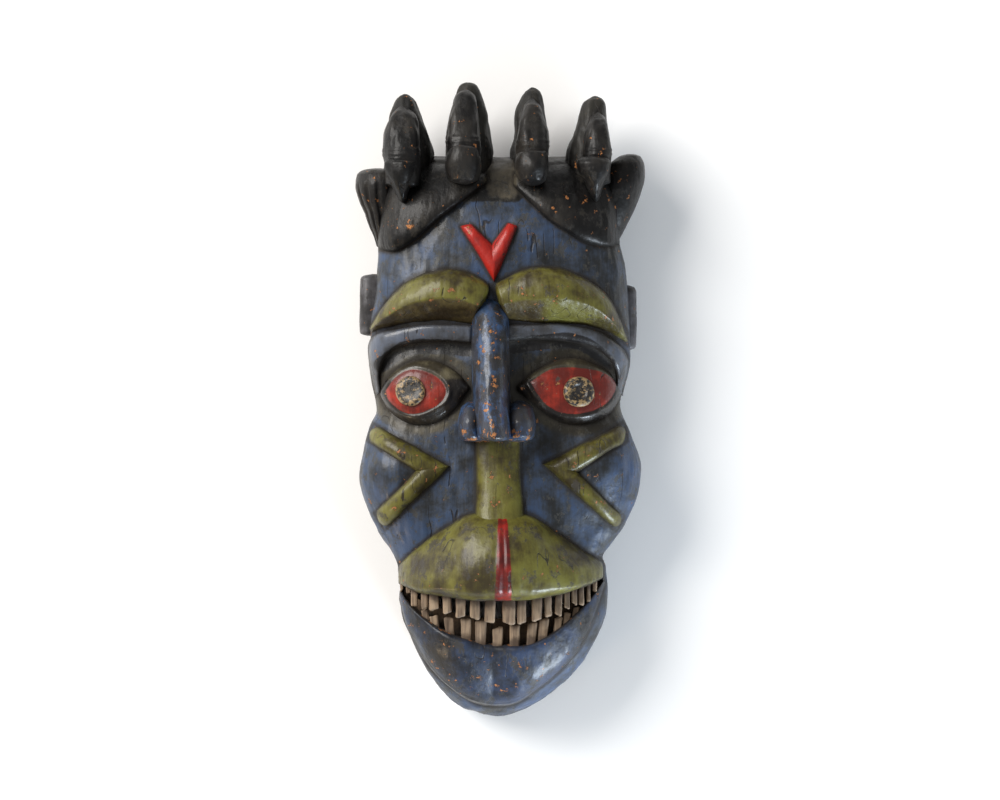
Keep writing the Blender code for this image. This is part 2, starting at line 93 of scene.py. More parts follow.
def smooth(at: Any, knots: Knots) -> Array:
    """Read a smooth curve through knots: cubic pieces with harmonic-mean slopes, never overshooting.

    Args:
        at: places to read.
        knots: (place, value) pairs in rising order of place.

    Returns:
        The values at those places, held level beyond the ends.
    """
    place, value = np.array(knots, float).T
    span = np.diff(place)
    rise = np.diff(value) / span
    before, after = rise[:-1], rise[1:]
    turning = before * after <= 0
    mean = 2 * before * after / np.where(turning, 1, before + after)
    slope = np.concatenate((rise[:1], np.where(turning, 0, mean), rise[-1:]))
    at = np.clip(at, place[0], place[-1])
    i = np.clip(np.searchsorted(place, at, side="right") - 1, 0, len(span) - 1)
    t = (at - place[i]) / span[i]
    return (
        value[i] * (1 + 2 * t) * (1 - t) ** 2
        + value[i + 1] * t * t * (3 - 2 * t)
        + span[i] * (slope[i] * t * (1 - t) ** 2 - slope[i + 1] * t * t * (1 - t))
    )


def trail(points: Sequence[tuple[float, float]], share: Array, straight: bool = False) -> Array:
    """Walk along points: straight runs, or cubic pieces whose slopes are central differences.

    Args:
        points: (across, up) points.
        share: how far along, 0 to 1, counted in points.
        straight: keep the runs straight and the corners sharp.

    Returns:
        An (n, 2) array of places.
    """
    knots = np.array(points, float)
    last = len(knots) - 1
    at = np.asarray(share, float) * last
    i = np.clip(at.astype(int), 0, last - 1)
    t = (at - i)[:, None]
    if straight:
        return knots[i] * (1 - t) + knots[i + 1] * t
    slope = np.gradient(knots, axis=0)
    return (
        knots[i] * (1 + 2 * t) * (1 - t) ** 2
        + knots[i + 1] * t * t * (3 - 2 * t)
        + slope[i] * t * (1 - t) ** 2
        - slope[i + 1] * t * t * (1 - t)
    )


def lattice_noise(points: Array, wavelength: float | Sequence[float], seed: int) -> Array:
    """Smooth noise from -1 to 1: a hashed value at each corner of a lattice, blended by smoothstep.

    Args:
        points: (..., 3) places.
        wavelength: the lattice's pitch, one number or one for each axis.
        seed: picks the pattern.

    Returns:
        One value for each place.
    """
    scaled = points / np.asarray(wavelength, float)
    cell = np.floor(scaled).astype(np.int64)
    part = scaled - cell
    part = part * part * (3 - 2 * part)
    total = np.zeros(points.shape[:-1])
    for corner in np.ndindex(2, 2, 2):
        at = cell + np.array(corner)
        key = at[..., 0] * 73856093 ^ at[..., 1] * 19349663 ^ at[..., 2] * 83492791 ^ seed * 2654435761
        key = (key ^ (key >> 13)) * 1274126177 & 0xFFFFFFFF
        key = (key ^ (key >> 16)) * 2246822519 & 0xFFFFFFFF
        weight = np.where(np.array(corner) == 1, part, 1 - part).prod(axis=-1)
        total = total + weight * ((key & 0xFFFF) / 32767.5 - 1)
    return total


def line_distance(points: Array, line: Array) -> Array:
    """Distance from places to the nearest of a line's segments.

    Args:
        points: (n, 2) places.
        line: (m, 2) corners of the line.

    Returns:
        n distances.
    """
    nearest = np.full(len(points), np.inf)
    for start, end in zip(line[:-1], line[1:]):
        along = end - start
        share = np.clip((points - start) @ along / max(along @ along, 1e-9), 0, 1)
        gap = points - start - share[:, None] * along
        nearest = np.minimum(nearest, (gap * gap).sum(1))
    return np.sqrt(nearest)


def inside(points: Array, loop: Array) -> Array:
    """Whether places lie in a closed loop: an odd number of its sides is crossed on the way out.

    Args:
        points: (n, 2) places.
        loop: (m, 2) corners, the last joined to the first.

    Returns:
        n truth values.
    """
    crossings = np.zeros(len(points), int)
    for start, end in zip(loop, np.roll(loop, -1, axis=0)):
        spans = (start[1] > points[:, 1]) != (end[1] > points[:, 1])
        height = end[1] - start[1]
        reach = start[0] + (points[:, 1] - start[1]) * (end[0] - start[0]) / (height if height else 1)
        crossings += spans & (points[:, 0] < reach)
    return crossings % 2 == 1


def depth_in(points: Array, loop: Array) -> Array:
    """Signed distance to a closed loop: positive inside it and negative outside.

    Args:
        points: (n, 2) places.
        loop: (m, 2) corners of the loop.

    Returns:
        n distances.
    """
    distance = line_distance(points, np.vstack((loop, loop[:1])))
    return np.where(inside(points, loop), distance, -distance)


def step(value: Array, low: float, high: float) -> Array:
    """Smoothstep from 0 at low to 1 at high."""
    share = np.clip((value - low) / (high - low), 0, 1)
    return share * share * (3 - 2 * share)


def eased(count: int) -> Array:
    """Places from 0 to 1 that crowd at both ends, as the cosine does."""
    return (1 - np.cos(np.pi * np.linspace(0, 1, count))) / 2


def spaced(start: float, end: float, count: int) -> Array:
    """Places from start to end, half as far apart at both ends as in the middle."""
    return start + (end - start) * (np.linspace(0, 1, count) + eased(count)) / 2


def bulged(value: Array, power: float) -> Array:
    """The value's size raised to a power, with its sign kept."""
    return np.sign(value) * np.abs(value) ** power


def bell(value: Array, rise: float, middle: float, reach: float) -> Array:
    """Bell curve: rise * exp(-((value - middle) / reach) ** 2)."""
    return rise * np.exp(-(((value - middle) / reach) ** 2))


def ring_quads(count: int, around: int) -> tuple[Array, Array]:
    """Number the points of closed rings, and the quads between each ring and the next.

    Args:
        count: how many rings.
        around: points round each ring.

    Returns:
        The (count, around) point numbers and the (n, 4) quads.
    """
    grid = np.arange(count * around).reshape(count, around)
    beside = np.roll(grid, -1, axis=1)
    return grid, np.stack((grid[:-1], beside[:-1], beside[1:], grid[1:]), axis=-1).reshape(-1, 4)


@dataclass(frozen=True)
class Swell:
    """A broad swell or hollow of the face, falling off as a bell curve, in squares."""

    across: float
    up: float
    reach_across: float
    reach_up: float
    rise: float


@dataclass
class HeadForm:
    """The plain form of the head, from chin to crown, as a height over its outline."""

    chin: float = -300.0
    crown: float = 231.0
    power: float = 2.4
    tuck: float = 0.965
    left: Knots = (
        (-300, -8), (-297, -22), (-291, -37), (-282, -49), (-268, -62), (-247, -75), (-221, -86),
        (-194, -94), (-158, -96.5), (-123, -115), (-94, -129), (-66, -133.5), (-29, -124), (-9, -116),
        (36, -123.5), (66, -123), (94, -119), (132, -116), (200, -112), (216, -107), (227, -96),
        (231, -84),
    )
    right: Knots = (
        (-300, 4), (-297, 14), (-289, 31), (-278, 47), (-261, 67), (-245, 80), (-221, 93),
        (-196, 100), (-158, 101), (-148, 98), (-138, 105), (-119, 118), (-92, 130), (-64, 133.2),
        (-33, 124), (-6, 113.5), (43, 123), (112, 119), (150, 114), (200, 110), (216, 106),
        (227, 97), (231, 86),
    )
    crest: Knots = (
        (-300, 34), (-290, 52), (-272, 66), (-250, 78), (-220, 90), (-190, 98), (-150, 103),
        (-60, 104), (40, 105), (110, 109), (155, 104), (190, 94), (214, 82), (226, 70), (231, 58),
    )
    edge: Knots = (
        (-300, 26), (-270, 36), (-220, 46), (-170, 52), (-60, 56), (60, 58), (200, 50), (231, 38),
    )
    swells: tuple[Swell, ...] = (
        Swell(-110, -66, 34, 34, 16),
        Swell(108, -66, 34, 34, 17),
        Swell(-70, 25, 46, 30, -7),
        Swell(68, 25, 46, 30, -7),
        Swell(0, -130, 60, 45, 8),
        Swell(0, 160, 70, 40, 4),
        Swell(-62, -135, 26, 24, -6),
        Swell(62, -135, 26, 24, -5),
    )

    def share(self, across: Array, up: Array) -> Array:
        """How far a place lies from the head's middle, 0, to its side, 1."""
        left, right = smooth(up, self.left), smooth(up, self.right)
        return np.clip((across - (left + right) / 2) / ((right - left) / 2), -1, 1)

    def front(self, across: Array, up: Array) -> Array:
        """Height of the head: a superellipse between its edge and its crest, with the swells added.

        Args:
            across: places across, in squares.
            up: places up, in squares.

        Returns:
            How far out the head's front stands there, in squares.
        """
        fall = (1 - np.abs(self.share(across, up)) ** self.power) ** (1 / self.power)
        edge = smooth(up, self.edge)
        out = edge + (smooth(up, self.crest) - edge) * fall
        for swell in self.swells:
            reach = ((across - swell.across) / swell.reach_across) ** 2
            reach = reach + ((up - swell.up) / swell.reach_up) ** 2
            out = out + swell.rise * np.exp(-reach) * np.sqrt(fall)
        return out


@dataclass(frozen=True)
class PaintLines:
    """Where the painter changed colour on the head, in squares."""

    hairline: Knots = (
        (-140, 142), (-116, 141), (-100, 139), (-77, 151), (-54, 172), (-40, 184), (-36, 186),
        (17, 186), (22, 190), (34, 179.5), (56, 160), (80, 147), (104, 144), (140, 148),
    )
    strokes: tuple[Sequence[tuple[float, float]], ...] = (
        ((-112, 33), (-89, 48), (-57, 50), (-29, 48)),
        ((12, 50), (32.5, 53.5), (65, 56), (85.4, 48.5), (101.6, 35)),
    )
    stroke_half: float = 7.0
    socket_reach: float = 10.0

    def hair(self, flat: Array) -> Array:
        """How far above the hairline each (across, up) place lies."""
        line = np.array(self.hairline)
        return (flat[:, 1] - np.interp(flat[:, 0], line[:, 0], line[:, 1])) * 0.8

    def stroke(self, flat: Array) -> Array:
        """How deep each place lies in a black stroke under a brow."""
        lines = [trail(stroke, np.linspace(0, 1, 24)) for stroke in self.strokes]
        return self.stroke_half - np.minimum.reduce([line_distance(flat, line) for line in lines])

    def socket(self, flat: Array, eyes: Sequence[Array]) -> Array:
        """How deep each place lies in the dirty band round an eye."""
        return self.socket_reach - np.minimum.reduce([line_distance(flat, eye) for eye in eyes])


@dataclass
class Workshop:
    """What every sub-assembly is made with: the head's form, the grid's scale and the finishes."""

    head: HeadForm
    square: Array
    lines: PaintLines = PaintLines()
    finishes: dict["Coat", bpy.types.Material] = field(default_factory=dict)

    def skin(
        self,
        name: str,
        rings: Array,
        marks: dict[str, Array] | None = None,
        slot: str = PAINT_SLOT,
        nodes: Sequence[str] = (MASK_NODE,),
        lining: int | None = None,
    ) -> bpy.types.Object:
        """Skin closed rings into one closed piece: quads between rings, and a fan of triangles at each end.

        Args:
            name: the piece's name.
            rings: (rings, around, 3) places in squares.
            marks: (rings, around) values that the finish reads.
            slot: the record's material slot; not used.
            nodes: the frame's nodes that the piece stands for.
            lining: the place around each ring from which the second finish is worn.

        Returns:
            The piece, riding on the mask.
        """
        count, around, _ = rings.shape
        ends = np.array((rings[0].mean(0), rings[-1].mean(0)))
        places = np.vstack((rings.reshape(-1, 3), ends)) * self.square
        grid, quads = ring_quads(count, around)
        first, last = count * around, count * around + 1
        caps = np.vstack((
            np.column_stack((np.roll(grid[0], -1), grid[0], np.full(around, first))),
            np.column_stack((grid[-1], np.roll(grid[-1], -1), np.full(around, last))),
        ))
        corners = places[quads]
        volume = (np.cross(corners[:, 0], corners[:, 1]) * corners[:, 2]).sum()
        volume += (np.cross(corners[:, 0], corners[:, 2]) * corners[:, 3]).sum()
        tips = places[caps]
        volume += (np.cross(tips[:, 0], tips[:, 1]) * tips[:, 2]).sum()
        if volume < 0:
            quads, caps = quads[:, ::-1], caps[:, ::-1]
        mesh = bpy.data.meshes.new(name)
        mesh.vertices.add(len(places))
        mesh.vertices.foreach_set("co", places.ravel().astype(np.float32))
        loops = np.concatenate((quads.ravel(), caps.ravel()))
        mesh.loops.add(len(loops))
        mesh.loops.foreach_set("vertex_index", loops.astype(np.int32))
        starts = np.concatenate((np.arange(len(quads)) * 4, len(quads) * 4 + np.arange(len(caps)) * 3))
        mesh.polygons.add(len(starts))
        mesh.polygons.foreach_set("loop_start", starts.astype(np.int32))
        mesh.update(calc_edges=True)
        mesh.validate()
        mesh.shade_smooth()
        for mark, values in (marks or {}).items():
            layer = mesh.attributes.new(mark, "FLOAT", "POINT")
            tip_values = [ring.mean(keepdims=True) for ring in (values[0], values[-1])]
            flat = np.concatenate((values.ravel(), *tip_values))
            layer.data.foreach_set("value", flat.astype(np.float32))
        if lining is not None:
            worn = np.zeros(len(mesh.polygons), np.int32)
            worn[: len(quads)] = np.tile(np.arange(around) >= lining, count - 1)
            mesh.polygons.foreach_set("material_index", worn)
        piece = bpy.data.objects.new(name, mesh)
        bpy.context.scene.collection.objects.link(piece)
        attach(piece, BODY)
        if nodes:
            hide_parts(*nodes)
        LOG.info("%s: %d faces", name, len(mesh.polygons))
        return piece

    def cut(self, piece: bpy.types.Object, volumes: Sequence[Array], coat: "Coat") -> None:
        """Cut closed volumes out of a piece, whose cut faces take the finish given.

        Args:
            piece: the piece, already dressed.
            volumes: (rings, around, 3) places in squares, for each volume.
            coat: the finish of the cut faces.
        """
        for rings in volumes:
            count, around, _ = rings.shape
            grid, quads = ring_quads(count, around)
            mesh = bpy.data.meshes.new("cutter")
            faces = [*quads.tolist(), grid[0, ::-1].tolist(), grid[-1].tolist()]
            mesh.from_pydata((rings.reshape(-1, 3) * self.square).tolist(), [], faces)
            mesh.materials.append(self.finishes[coat])
            cutter = bpy.data.objects.new("cutter", mesh)
            bpy.context.scene.collection.objects.link(cutter)
            work = piece.modifiers.new("cut", "BOOLEAN")
            work.operation = "DIFFERENCE"
            work.solver = "EXACT"
            work.material_mode = "TRANSFER"
            work.object = cutter
            graph = bpy.context.evaluated_depsgraph_get()
            result = bpy.data.meshes.new_from_object(piece.evaluated_get(graph))
            piece.modifiers.remove(work)
            piece.data = result
            bpy.data.objects.remove(cutter)
        LOG.info("%s: %d faces after %d cuts", piece.name, len(piece.data.polygons), len(volumes))


def ring_normals(rings: Array) -> Array:
    """Outward directions of skinned rings: the cross product of the steps around and along."""
    around = np.roll(rings, -1, axis=1) - np.roll(rings, 1, axis=1)
    along = np.gradient(rings, axis=0)
    normal = np.cross(around, along)
    length = np.linalg.norm(normal, axis=-1, keepdims=True)
    normal = normal / np.maximum(length, 1e-9)
    middle = rings.mean(axis=1, keepdims=True)
    turned = np.sign(((rings - middle) * normal).sum(axis=(0, 1, 2)))
    return normal * (turned if turned else 1)


def hand_cut(rings: Array, seed: int, amount: float, broad: float = 26.0, fine: float = 8.0) -> Array:
    """Move a surface in and out as a knife leaves it: broad dents, and fine ones drawn out upward.

    Args:
        rings: (rings, around, 3) places in squares.
        seed: picks the pattern.
        amount: the broad dents' depth.
        broad: the broad dents' size.
        fine: the fine dents' width.

    Returns:
        The moved places.
    """
    lift = amount * lattice_noise(rings, broad, seed)
    lift = lift + 0.45 * amount * lattice_noise(rings, (fine, fine * 2.6, fine), seed + 1)
    lift = lift + 0.12 * amount * lattice_noise(rings, (fine / 3, fine * 1.4, fine / 3), seed + 2)
    return rings + ring_normals(rings) * lift[..., None]


class Wire:
    """A number on its way between nodes. Arithmetic on it adds Math nodes."""

    def __init__(self, graph: "Graph", socket: bpy.types.NodeSocket) -> None:
        """Keep the graph and the socket that carries the number."""
        self.graph = graph
        self.socket = socket

    def _math(self, operation: str, first: Any, second: Any) -> "Wire":
        """Add one Math node.

        Args:
            operation: the Math node's operation.
            first: a wire or a number.
            second: a wire or a number.

        Returns:
            The result.
        """
        made = self.graph.node("ShaderNodeMath", {"operation": operation}, {0: first, 1: second})
        return Wire(self.graph, made.outputs[0])

    def __add__(self, other: Any) -> "Wire":
        """Sum."""
        return self._math("ADD", self, other)

    def __radd__(self, other: Any) -> "Wire":
        """Sum with a number on the left."""
        return self._math("ADD", other, self)

    def __sub__(self, other: Any) -> "Wire":
        """Difference."""
        return self._math("SUBTRACT", self, other)

    def __rsub__(self, other: Any) -> "Wire":
        """Difference with a number on the left."""
        return self._math("SUBTRACT", other, self)

    def __mul__(self, other: Any) -> "Wire":
        """Product."""
        return self._math("MULTIPLY", self, other)

    def above(self, low: float, high: float) -> "Wire":
        """Smoothstep from 0 at low to 1 at high.

        Args:
            low: where the result is 0.
            high: where the result is 1.

        Returns:
            The stepped number.
        """
        settings = {"interpolation_type": "SMOOTHSTEP"}
        made = self.graph.node("ShaderNodeMapRange", settings, {0: self, 1: low, 2: high, 3: 0.0, 4: 1.0})
        return Wire(self.graph, made.outputs[0])

    def size(self) -> "Wire":
        """The number without its sign."""
        return self._math("ABSOLUTE", self, 0.0)

    def clamped(self) -> "Wire":
        """The number held between 0 and 1."""
        made = self.graph.node("ShaderNodeClamp", {}, {0: self, 1: 0.0, 2: 1.0})
        return Wire(self.graph, made.outputs[0])


Colour = tuple[float, float, float]


class Graph:
    """One material's nodes."""

    def __init__(self, name: str) -> None:
        """Start an empty material with the place of each point as its pattern's coordinates."""
        self.material = bpy.data.materials.new(name)
        self.material.use_nodes = True
        self.tree = self.material.node_tree
        self.tree.nodes.clear()
        self.place = self.node("ShaderNodeTexCoord").outputs["Object"]

    def node(
        self, kind: str, settings: dict[str, Any] | None = None, inputs: dict[Any, Any] | None = None
    ) -> bpy.types.Node:
        """Add a node, set it up, then give its sockets their values or links.

        Args:
            kind: the node's type.
            settings: its properties, set first.
            inputs: socket names or numbers, and a value, a socket or a wire for each.

        Returns:
            The node.
        """
        made = self.tree.nodes.new(kind)
        for key, value in (settings or {}).items():
            setattr(made, key, value)
        for key, value in (inputs or {}).items():
            source = value.socket if isinstance(value, Wire) else value
            if isinstance(source, bpy.types.NodeSocket):
                self.tree.links.new(source, made.inputs[key])
            else:
                made.inputs[key].default_value = source
        return made

    def mark(self, name: str) -> Wire:
        """A value that the piece's mesh carries at each point."""
        return Wire(self, self.node("ShaderNodeAttribute", {"attribute_name": name}).outputs["Fac"])

    def stretched(self, scale: Colour) -> bpy.types.NodeSocket:
        """The pattern's coordinates, multiplied along each axis."""
        return self.node("ShaderNodeMapping", {}, {0: self.place, 3: scale}).outputs[0]

    def noise(self, scale: float, detail: float = 3.0, rough: float = 0.55, place: Any = None) -> Wire:
        """Layered noise from 0 to 1.

        Args:
            scale: features to a metre.
            detail: how many layers.
            rough: how strong the fine layers are.
            place: coordinates other than the plain ones.

        Returns:
            The noise.
        """
        inputs = {"Vector": place or self.place, "Scale": scale, "Detail": detail, "Roughness": rough}
        return Wire(self, self.node("ShaderNodeTexNoise", {}, inputs).outputs[0])

    def mix(self, share: Any, first: Any, second: Any) -> bpy.types.NodeSocket:
        """Blend two colours.

        Args:
            share: how much of the second shows.
            first: a colour or a socket.
            second: a colour or a socket.

        Returns:
            The blended colour's socket.
        """
        colours = [(*c, 1.0) if isinstance(c, tuple) else c for c in (first, second)]
        made = self.node("ShaderNodeMix", {"data_type": "RGBA"}, {0: share, 6: colours[0], 7: colours[1]})
        return made.outputs[2]

    def bump(self, height: Wire, distance: float, strength: float) -> bpy.types.NodeSocket:
        """Turn a height into a bent normal.

        Args:
            height: the height, about 0 to 1.
            distance: how many metres a height of 1 stands for.
            strength: how much of it shows.

        Returns:
            The normal's socket.
        """
        inputs = {"Height": height, "Distance": distance, "Strength": strength}
        return self.node("ShaderNodeBump", {}, inputs).outputs[0]

    def surface(
        self, colour: Any, rough: Any, normal: Any, coat: float, coat_rough: float, gleam: float = 0.5
    ) -> None:
        """End in a Principled surface.

        Args:
            colour: its colour.
            rough: its roughness.
            normal: its bent normal.
            coat: how much varnish lies on it.
            coat_rough: the varnish's roughness.
            gleam: how strongly it reflects.
        """
        inputs = {
            "Base Color": colour, "Roughness": rough, "Normal": normal,
            "Coat Weight": coat, "Coat Roughness": coat_rough, "Specular IOR Level": gleam,
        }
        given = {key: value for key, value in inputs.items() if value is not None}
        shader = self.node("ShaderNodeBsdfPrincipled", {}, given)
        self.node("ShaderNodeOutputMaterial", {}, {0: shader.outputs[0]})


class Coat(Enum):
    """The finishes of the mask."""

    BLUE = "blue_face_paint"
    JAW = "blue_jaw_paint"
    NOSE = "bright_blue_paint"
    GREEN = "olive_green_paint"
    LIP = "olive_lip_paint"
    RED = "red_paint"
    LID = "grey_lid_paint"
    HAIR = "black_hair_paint"
    BLADE = "dull_hair_paint"
    EAR = "black_ear_paint"
    EYE = "eye_paint"
    IRIS = "iris_paint"
    TOOTH = "bare_tooth_wood"
    WOOD = "bare_hollow_wood"


@dataclass(frozen=True)
class Zone:
    """A part of a finish with a colour of its own, where a mark on the mesh rises past a level."""

    mark: str
    dark: Colour
    light: Colour
    low: float = -0.6
    high: float = 0.6
    wobble: float = 3.0


@dataclass(frozen=True)
class Paint:
    """Old oil paint over carved wood: mottled, dirty and darkened with painted shade in the hollows, chipped
    and cracked.
    """

    coat: Coat
    dark: Colour
    body: Colour
    light: Colour
    zones: tuple[Zone, ...] = ()
    dirt_and_shade: Colour = (0.020, 0.016, 0.012)
    crack: Colour = (0.012, 0.009, 0.007)
    scuff: Colour = (0.042, 0.037, 0.031)
    wood: Colour = (0.42, 0.17, 0.055)
    dirt_and_shade_share: float = 0.8
    chips: float = 0.675
    scuffs: float = 0.57
    scuff_scale: float = 60.0
    cracks: float = 0.53
    rough: float = 0.37
    varnish: float = 0.16
    relief: float = 0.0016
    gleam: float = 0.34

    def build(self) -> bpy.types.Material:
        """Lay the paint: mottled colour, zones, scuffs, dirt with painted shade, cracks and chips, one over
        another.

        Returns:
            The material.
        """
        graph = Graph(self.coat.value)
        broad = graph.noise(14, 3, 0.6)
        cloud = graph.noise(48, 5, 0.62)
        fine = graph.noise(210, 5, 0.65)
        grain = graph.noise(330, 3, 0.6, graph.stretched((1.0, 0.06, 1.0)))
        tone = broad * 0.45 + cloud * 0.43 + grain * 0.12
        colour = graph.mix(tone.above(0.46, 0.60), self.body, self.light)
        colour = graph.mix((1.0 - tone).above(0.49, 0.60), colour, self.dark)
        for zone in self.zones:
            patch = graph.mix(tone.above(0.44, 0.60), zone.dark, zone.light)
            share = (graph.mark(zone.mark) + (cloud - 0.5) * zone.wobble + (fine - 0.5) * zone.wobble)
            colour = graph.mix(share.above(zone.low, zone.high), colour, patch)
        streaks = graph.stretched((1.0, 0.75, 1.0))
        scuff = graph.noise(self.scuff_scale, 9, 0.76, streaks).above(self.scuffs, self.scuffs + 0.04)
        colour = graph.mix(scuff * 0.8, colour, self.scuff)
        # Dirt with painted shade: the dirt colour goes where the mesh's crease mark is high, partly dirt and
        # partly painted shade.
        grime_and_shade = (graph.mark("grime_and_shade") * 1.15 + (cloud - 0.5) * 0.9 + (fine - 0.5) * 0.5).above(0.30, 0.95)
        colour = graph.mix(grime_and_shade * self.dirt_and_shade_share, colour, self.dirt_and_shade)
        line = graph.noise(62, 1, 0.3, graph.stretched((1.0, 0.045, 1.0)))
        seam = 1.0 - (line - 0.5).size().above(0.002, 0.009)
        crack = seam * graph.noise(30, 2).above(self.cracks, self.cracks + 0.04)
        colour = graph.mix(crack * 0.85, colour, self.crack)
        worn = graph.mark("worn") * 0.045
        flake = graph.noise(120, 8, 0.68) + worn
        chip = flake.above(self.chips, self.chips + 0.012)
        rim = flake.above(self.chips - 0.03, self.chips) - chip
        wood = graph.mix(grain.above(0.35, 0.7), self.wood, tuple(0.42 * c for c in self.wood))
        colour = graph.mix(rim.clamped() * 0.6, colour, self.dirt_and_shade)
        colour = graph.mix(chip, colour, wood)
        rough = self.rough + fine * 0.16 + scuff * 0.15 + grime_and_shade * 0.28 + chip * 0.25
        height = cloud * 0.9 + fine * 0.38 + grain * 0.30 - crack * 0.9 - chip * 0.35 - scuff * 0.12
        normal = graph.bump(height, self.relief, 0.55)
        graph.surface(colour, rough, normal, self.varnish, 0.16, self.gleam)
        return graph.material


@dataclass(frozen=True)
class BareWood:
    """Unpainted wood, darkened with age, with its grain along the mask."""

    coat: Coat
    dark: Colour
    light: Colour
    stain_and_shade: Colour
    rough: float = 0.62
    relief: float = 0.0008

    def build(self) -> bpy.types.Material:
        """Draw the grain as stretched noise, with stains over it, and painted shade where the mesh marks a
        crease or a hidden side.

        Returns:
            The material.
        """
        graph = Graph(self.coat.value)
        grain = graph.noise(420, 4, 0.6, graph.stretched((1.0, 0.05, 1.0)))
        bands = graph.noise(130, 3, 0.6, graph.stretched((1.0, 0.12, 1.0)))
        cloud = graph.noise(60, 5, 0.6)
        tone = grain * 0.5 + bands * 0.3 + cloud * 0.2
        colour = graph.mix(tone.above(0.36, 0.62), self.dark, self.light)
        # Stains with painted shade: the stain colour also lies where the crease mark is high, as at a peg's
        # root under the lip.
        stained_and_shaded = (cloud + graph.mark("grime_and_shade") * 0.55).above(0.58, 0.85)
        colour = graph.mix(stained_and_shaded * 0.85, colour, self.stain_and_shade)
        colour = graph.mix((1.0 - bands).above(0.60, 0.68) * 0.5, colour, self.stain_and_shade)
        rough = self.rough + grain * 0.2
        normal = graph.bump(grain * 0.6 + cloud * 0.6 + bands * 0.3, self.relief, 0.6)
        graph.surface(colour, rough, normal, 0.0, 0.3)
        return graph.material


@dataclass(frozen=True)
class IrisPaint:
    """The eye's knob: dark paint flaked off to old gilding, ringed with grime."""

    coat: Coat = Coat.IRIS
    dark: Colour = (0.010, 0.008, 0.007)
    gilt: Colour = (0.30, 0.20, 0.09)
    rim: Colour = (0.30, 0.20, 0.10)

    def build(self) -> bpy.types.Material:
        """Dark middle and gilt ring by the distance mark, both flaked by noise.

        Returns:
            The material.
        """
        graph = Graph(self.coat.value)
        fleck = graph.noise(300, 6, 0.7)
        cloud = graph.noise(110, 4, 0.6)
        ring = graph.mark("ring")
        shown = (ring * 0.16 + fleck * 1.0 + (cloud - 0.5) * 0.5).above(0.61, 0.70)
        colour = graph.mix(shown, self.dark, self.gilt)
        colour = graph.mix((ring + (cloud - 0.5) * 0.7).above(0.93, 1.0) * 0.8, colour, self.rim)
        rough = 0.32 + fleck * 0.3
        normal = graph.bump(fleck * 0.7 + cloud * 0.8, 0.0014, 0.8)
        graph.surface(colour, rough, normal, 0.25, 0.2)
        return graph.material


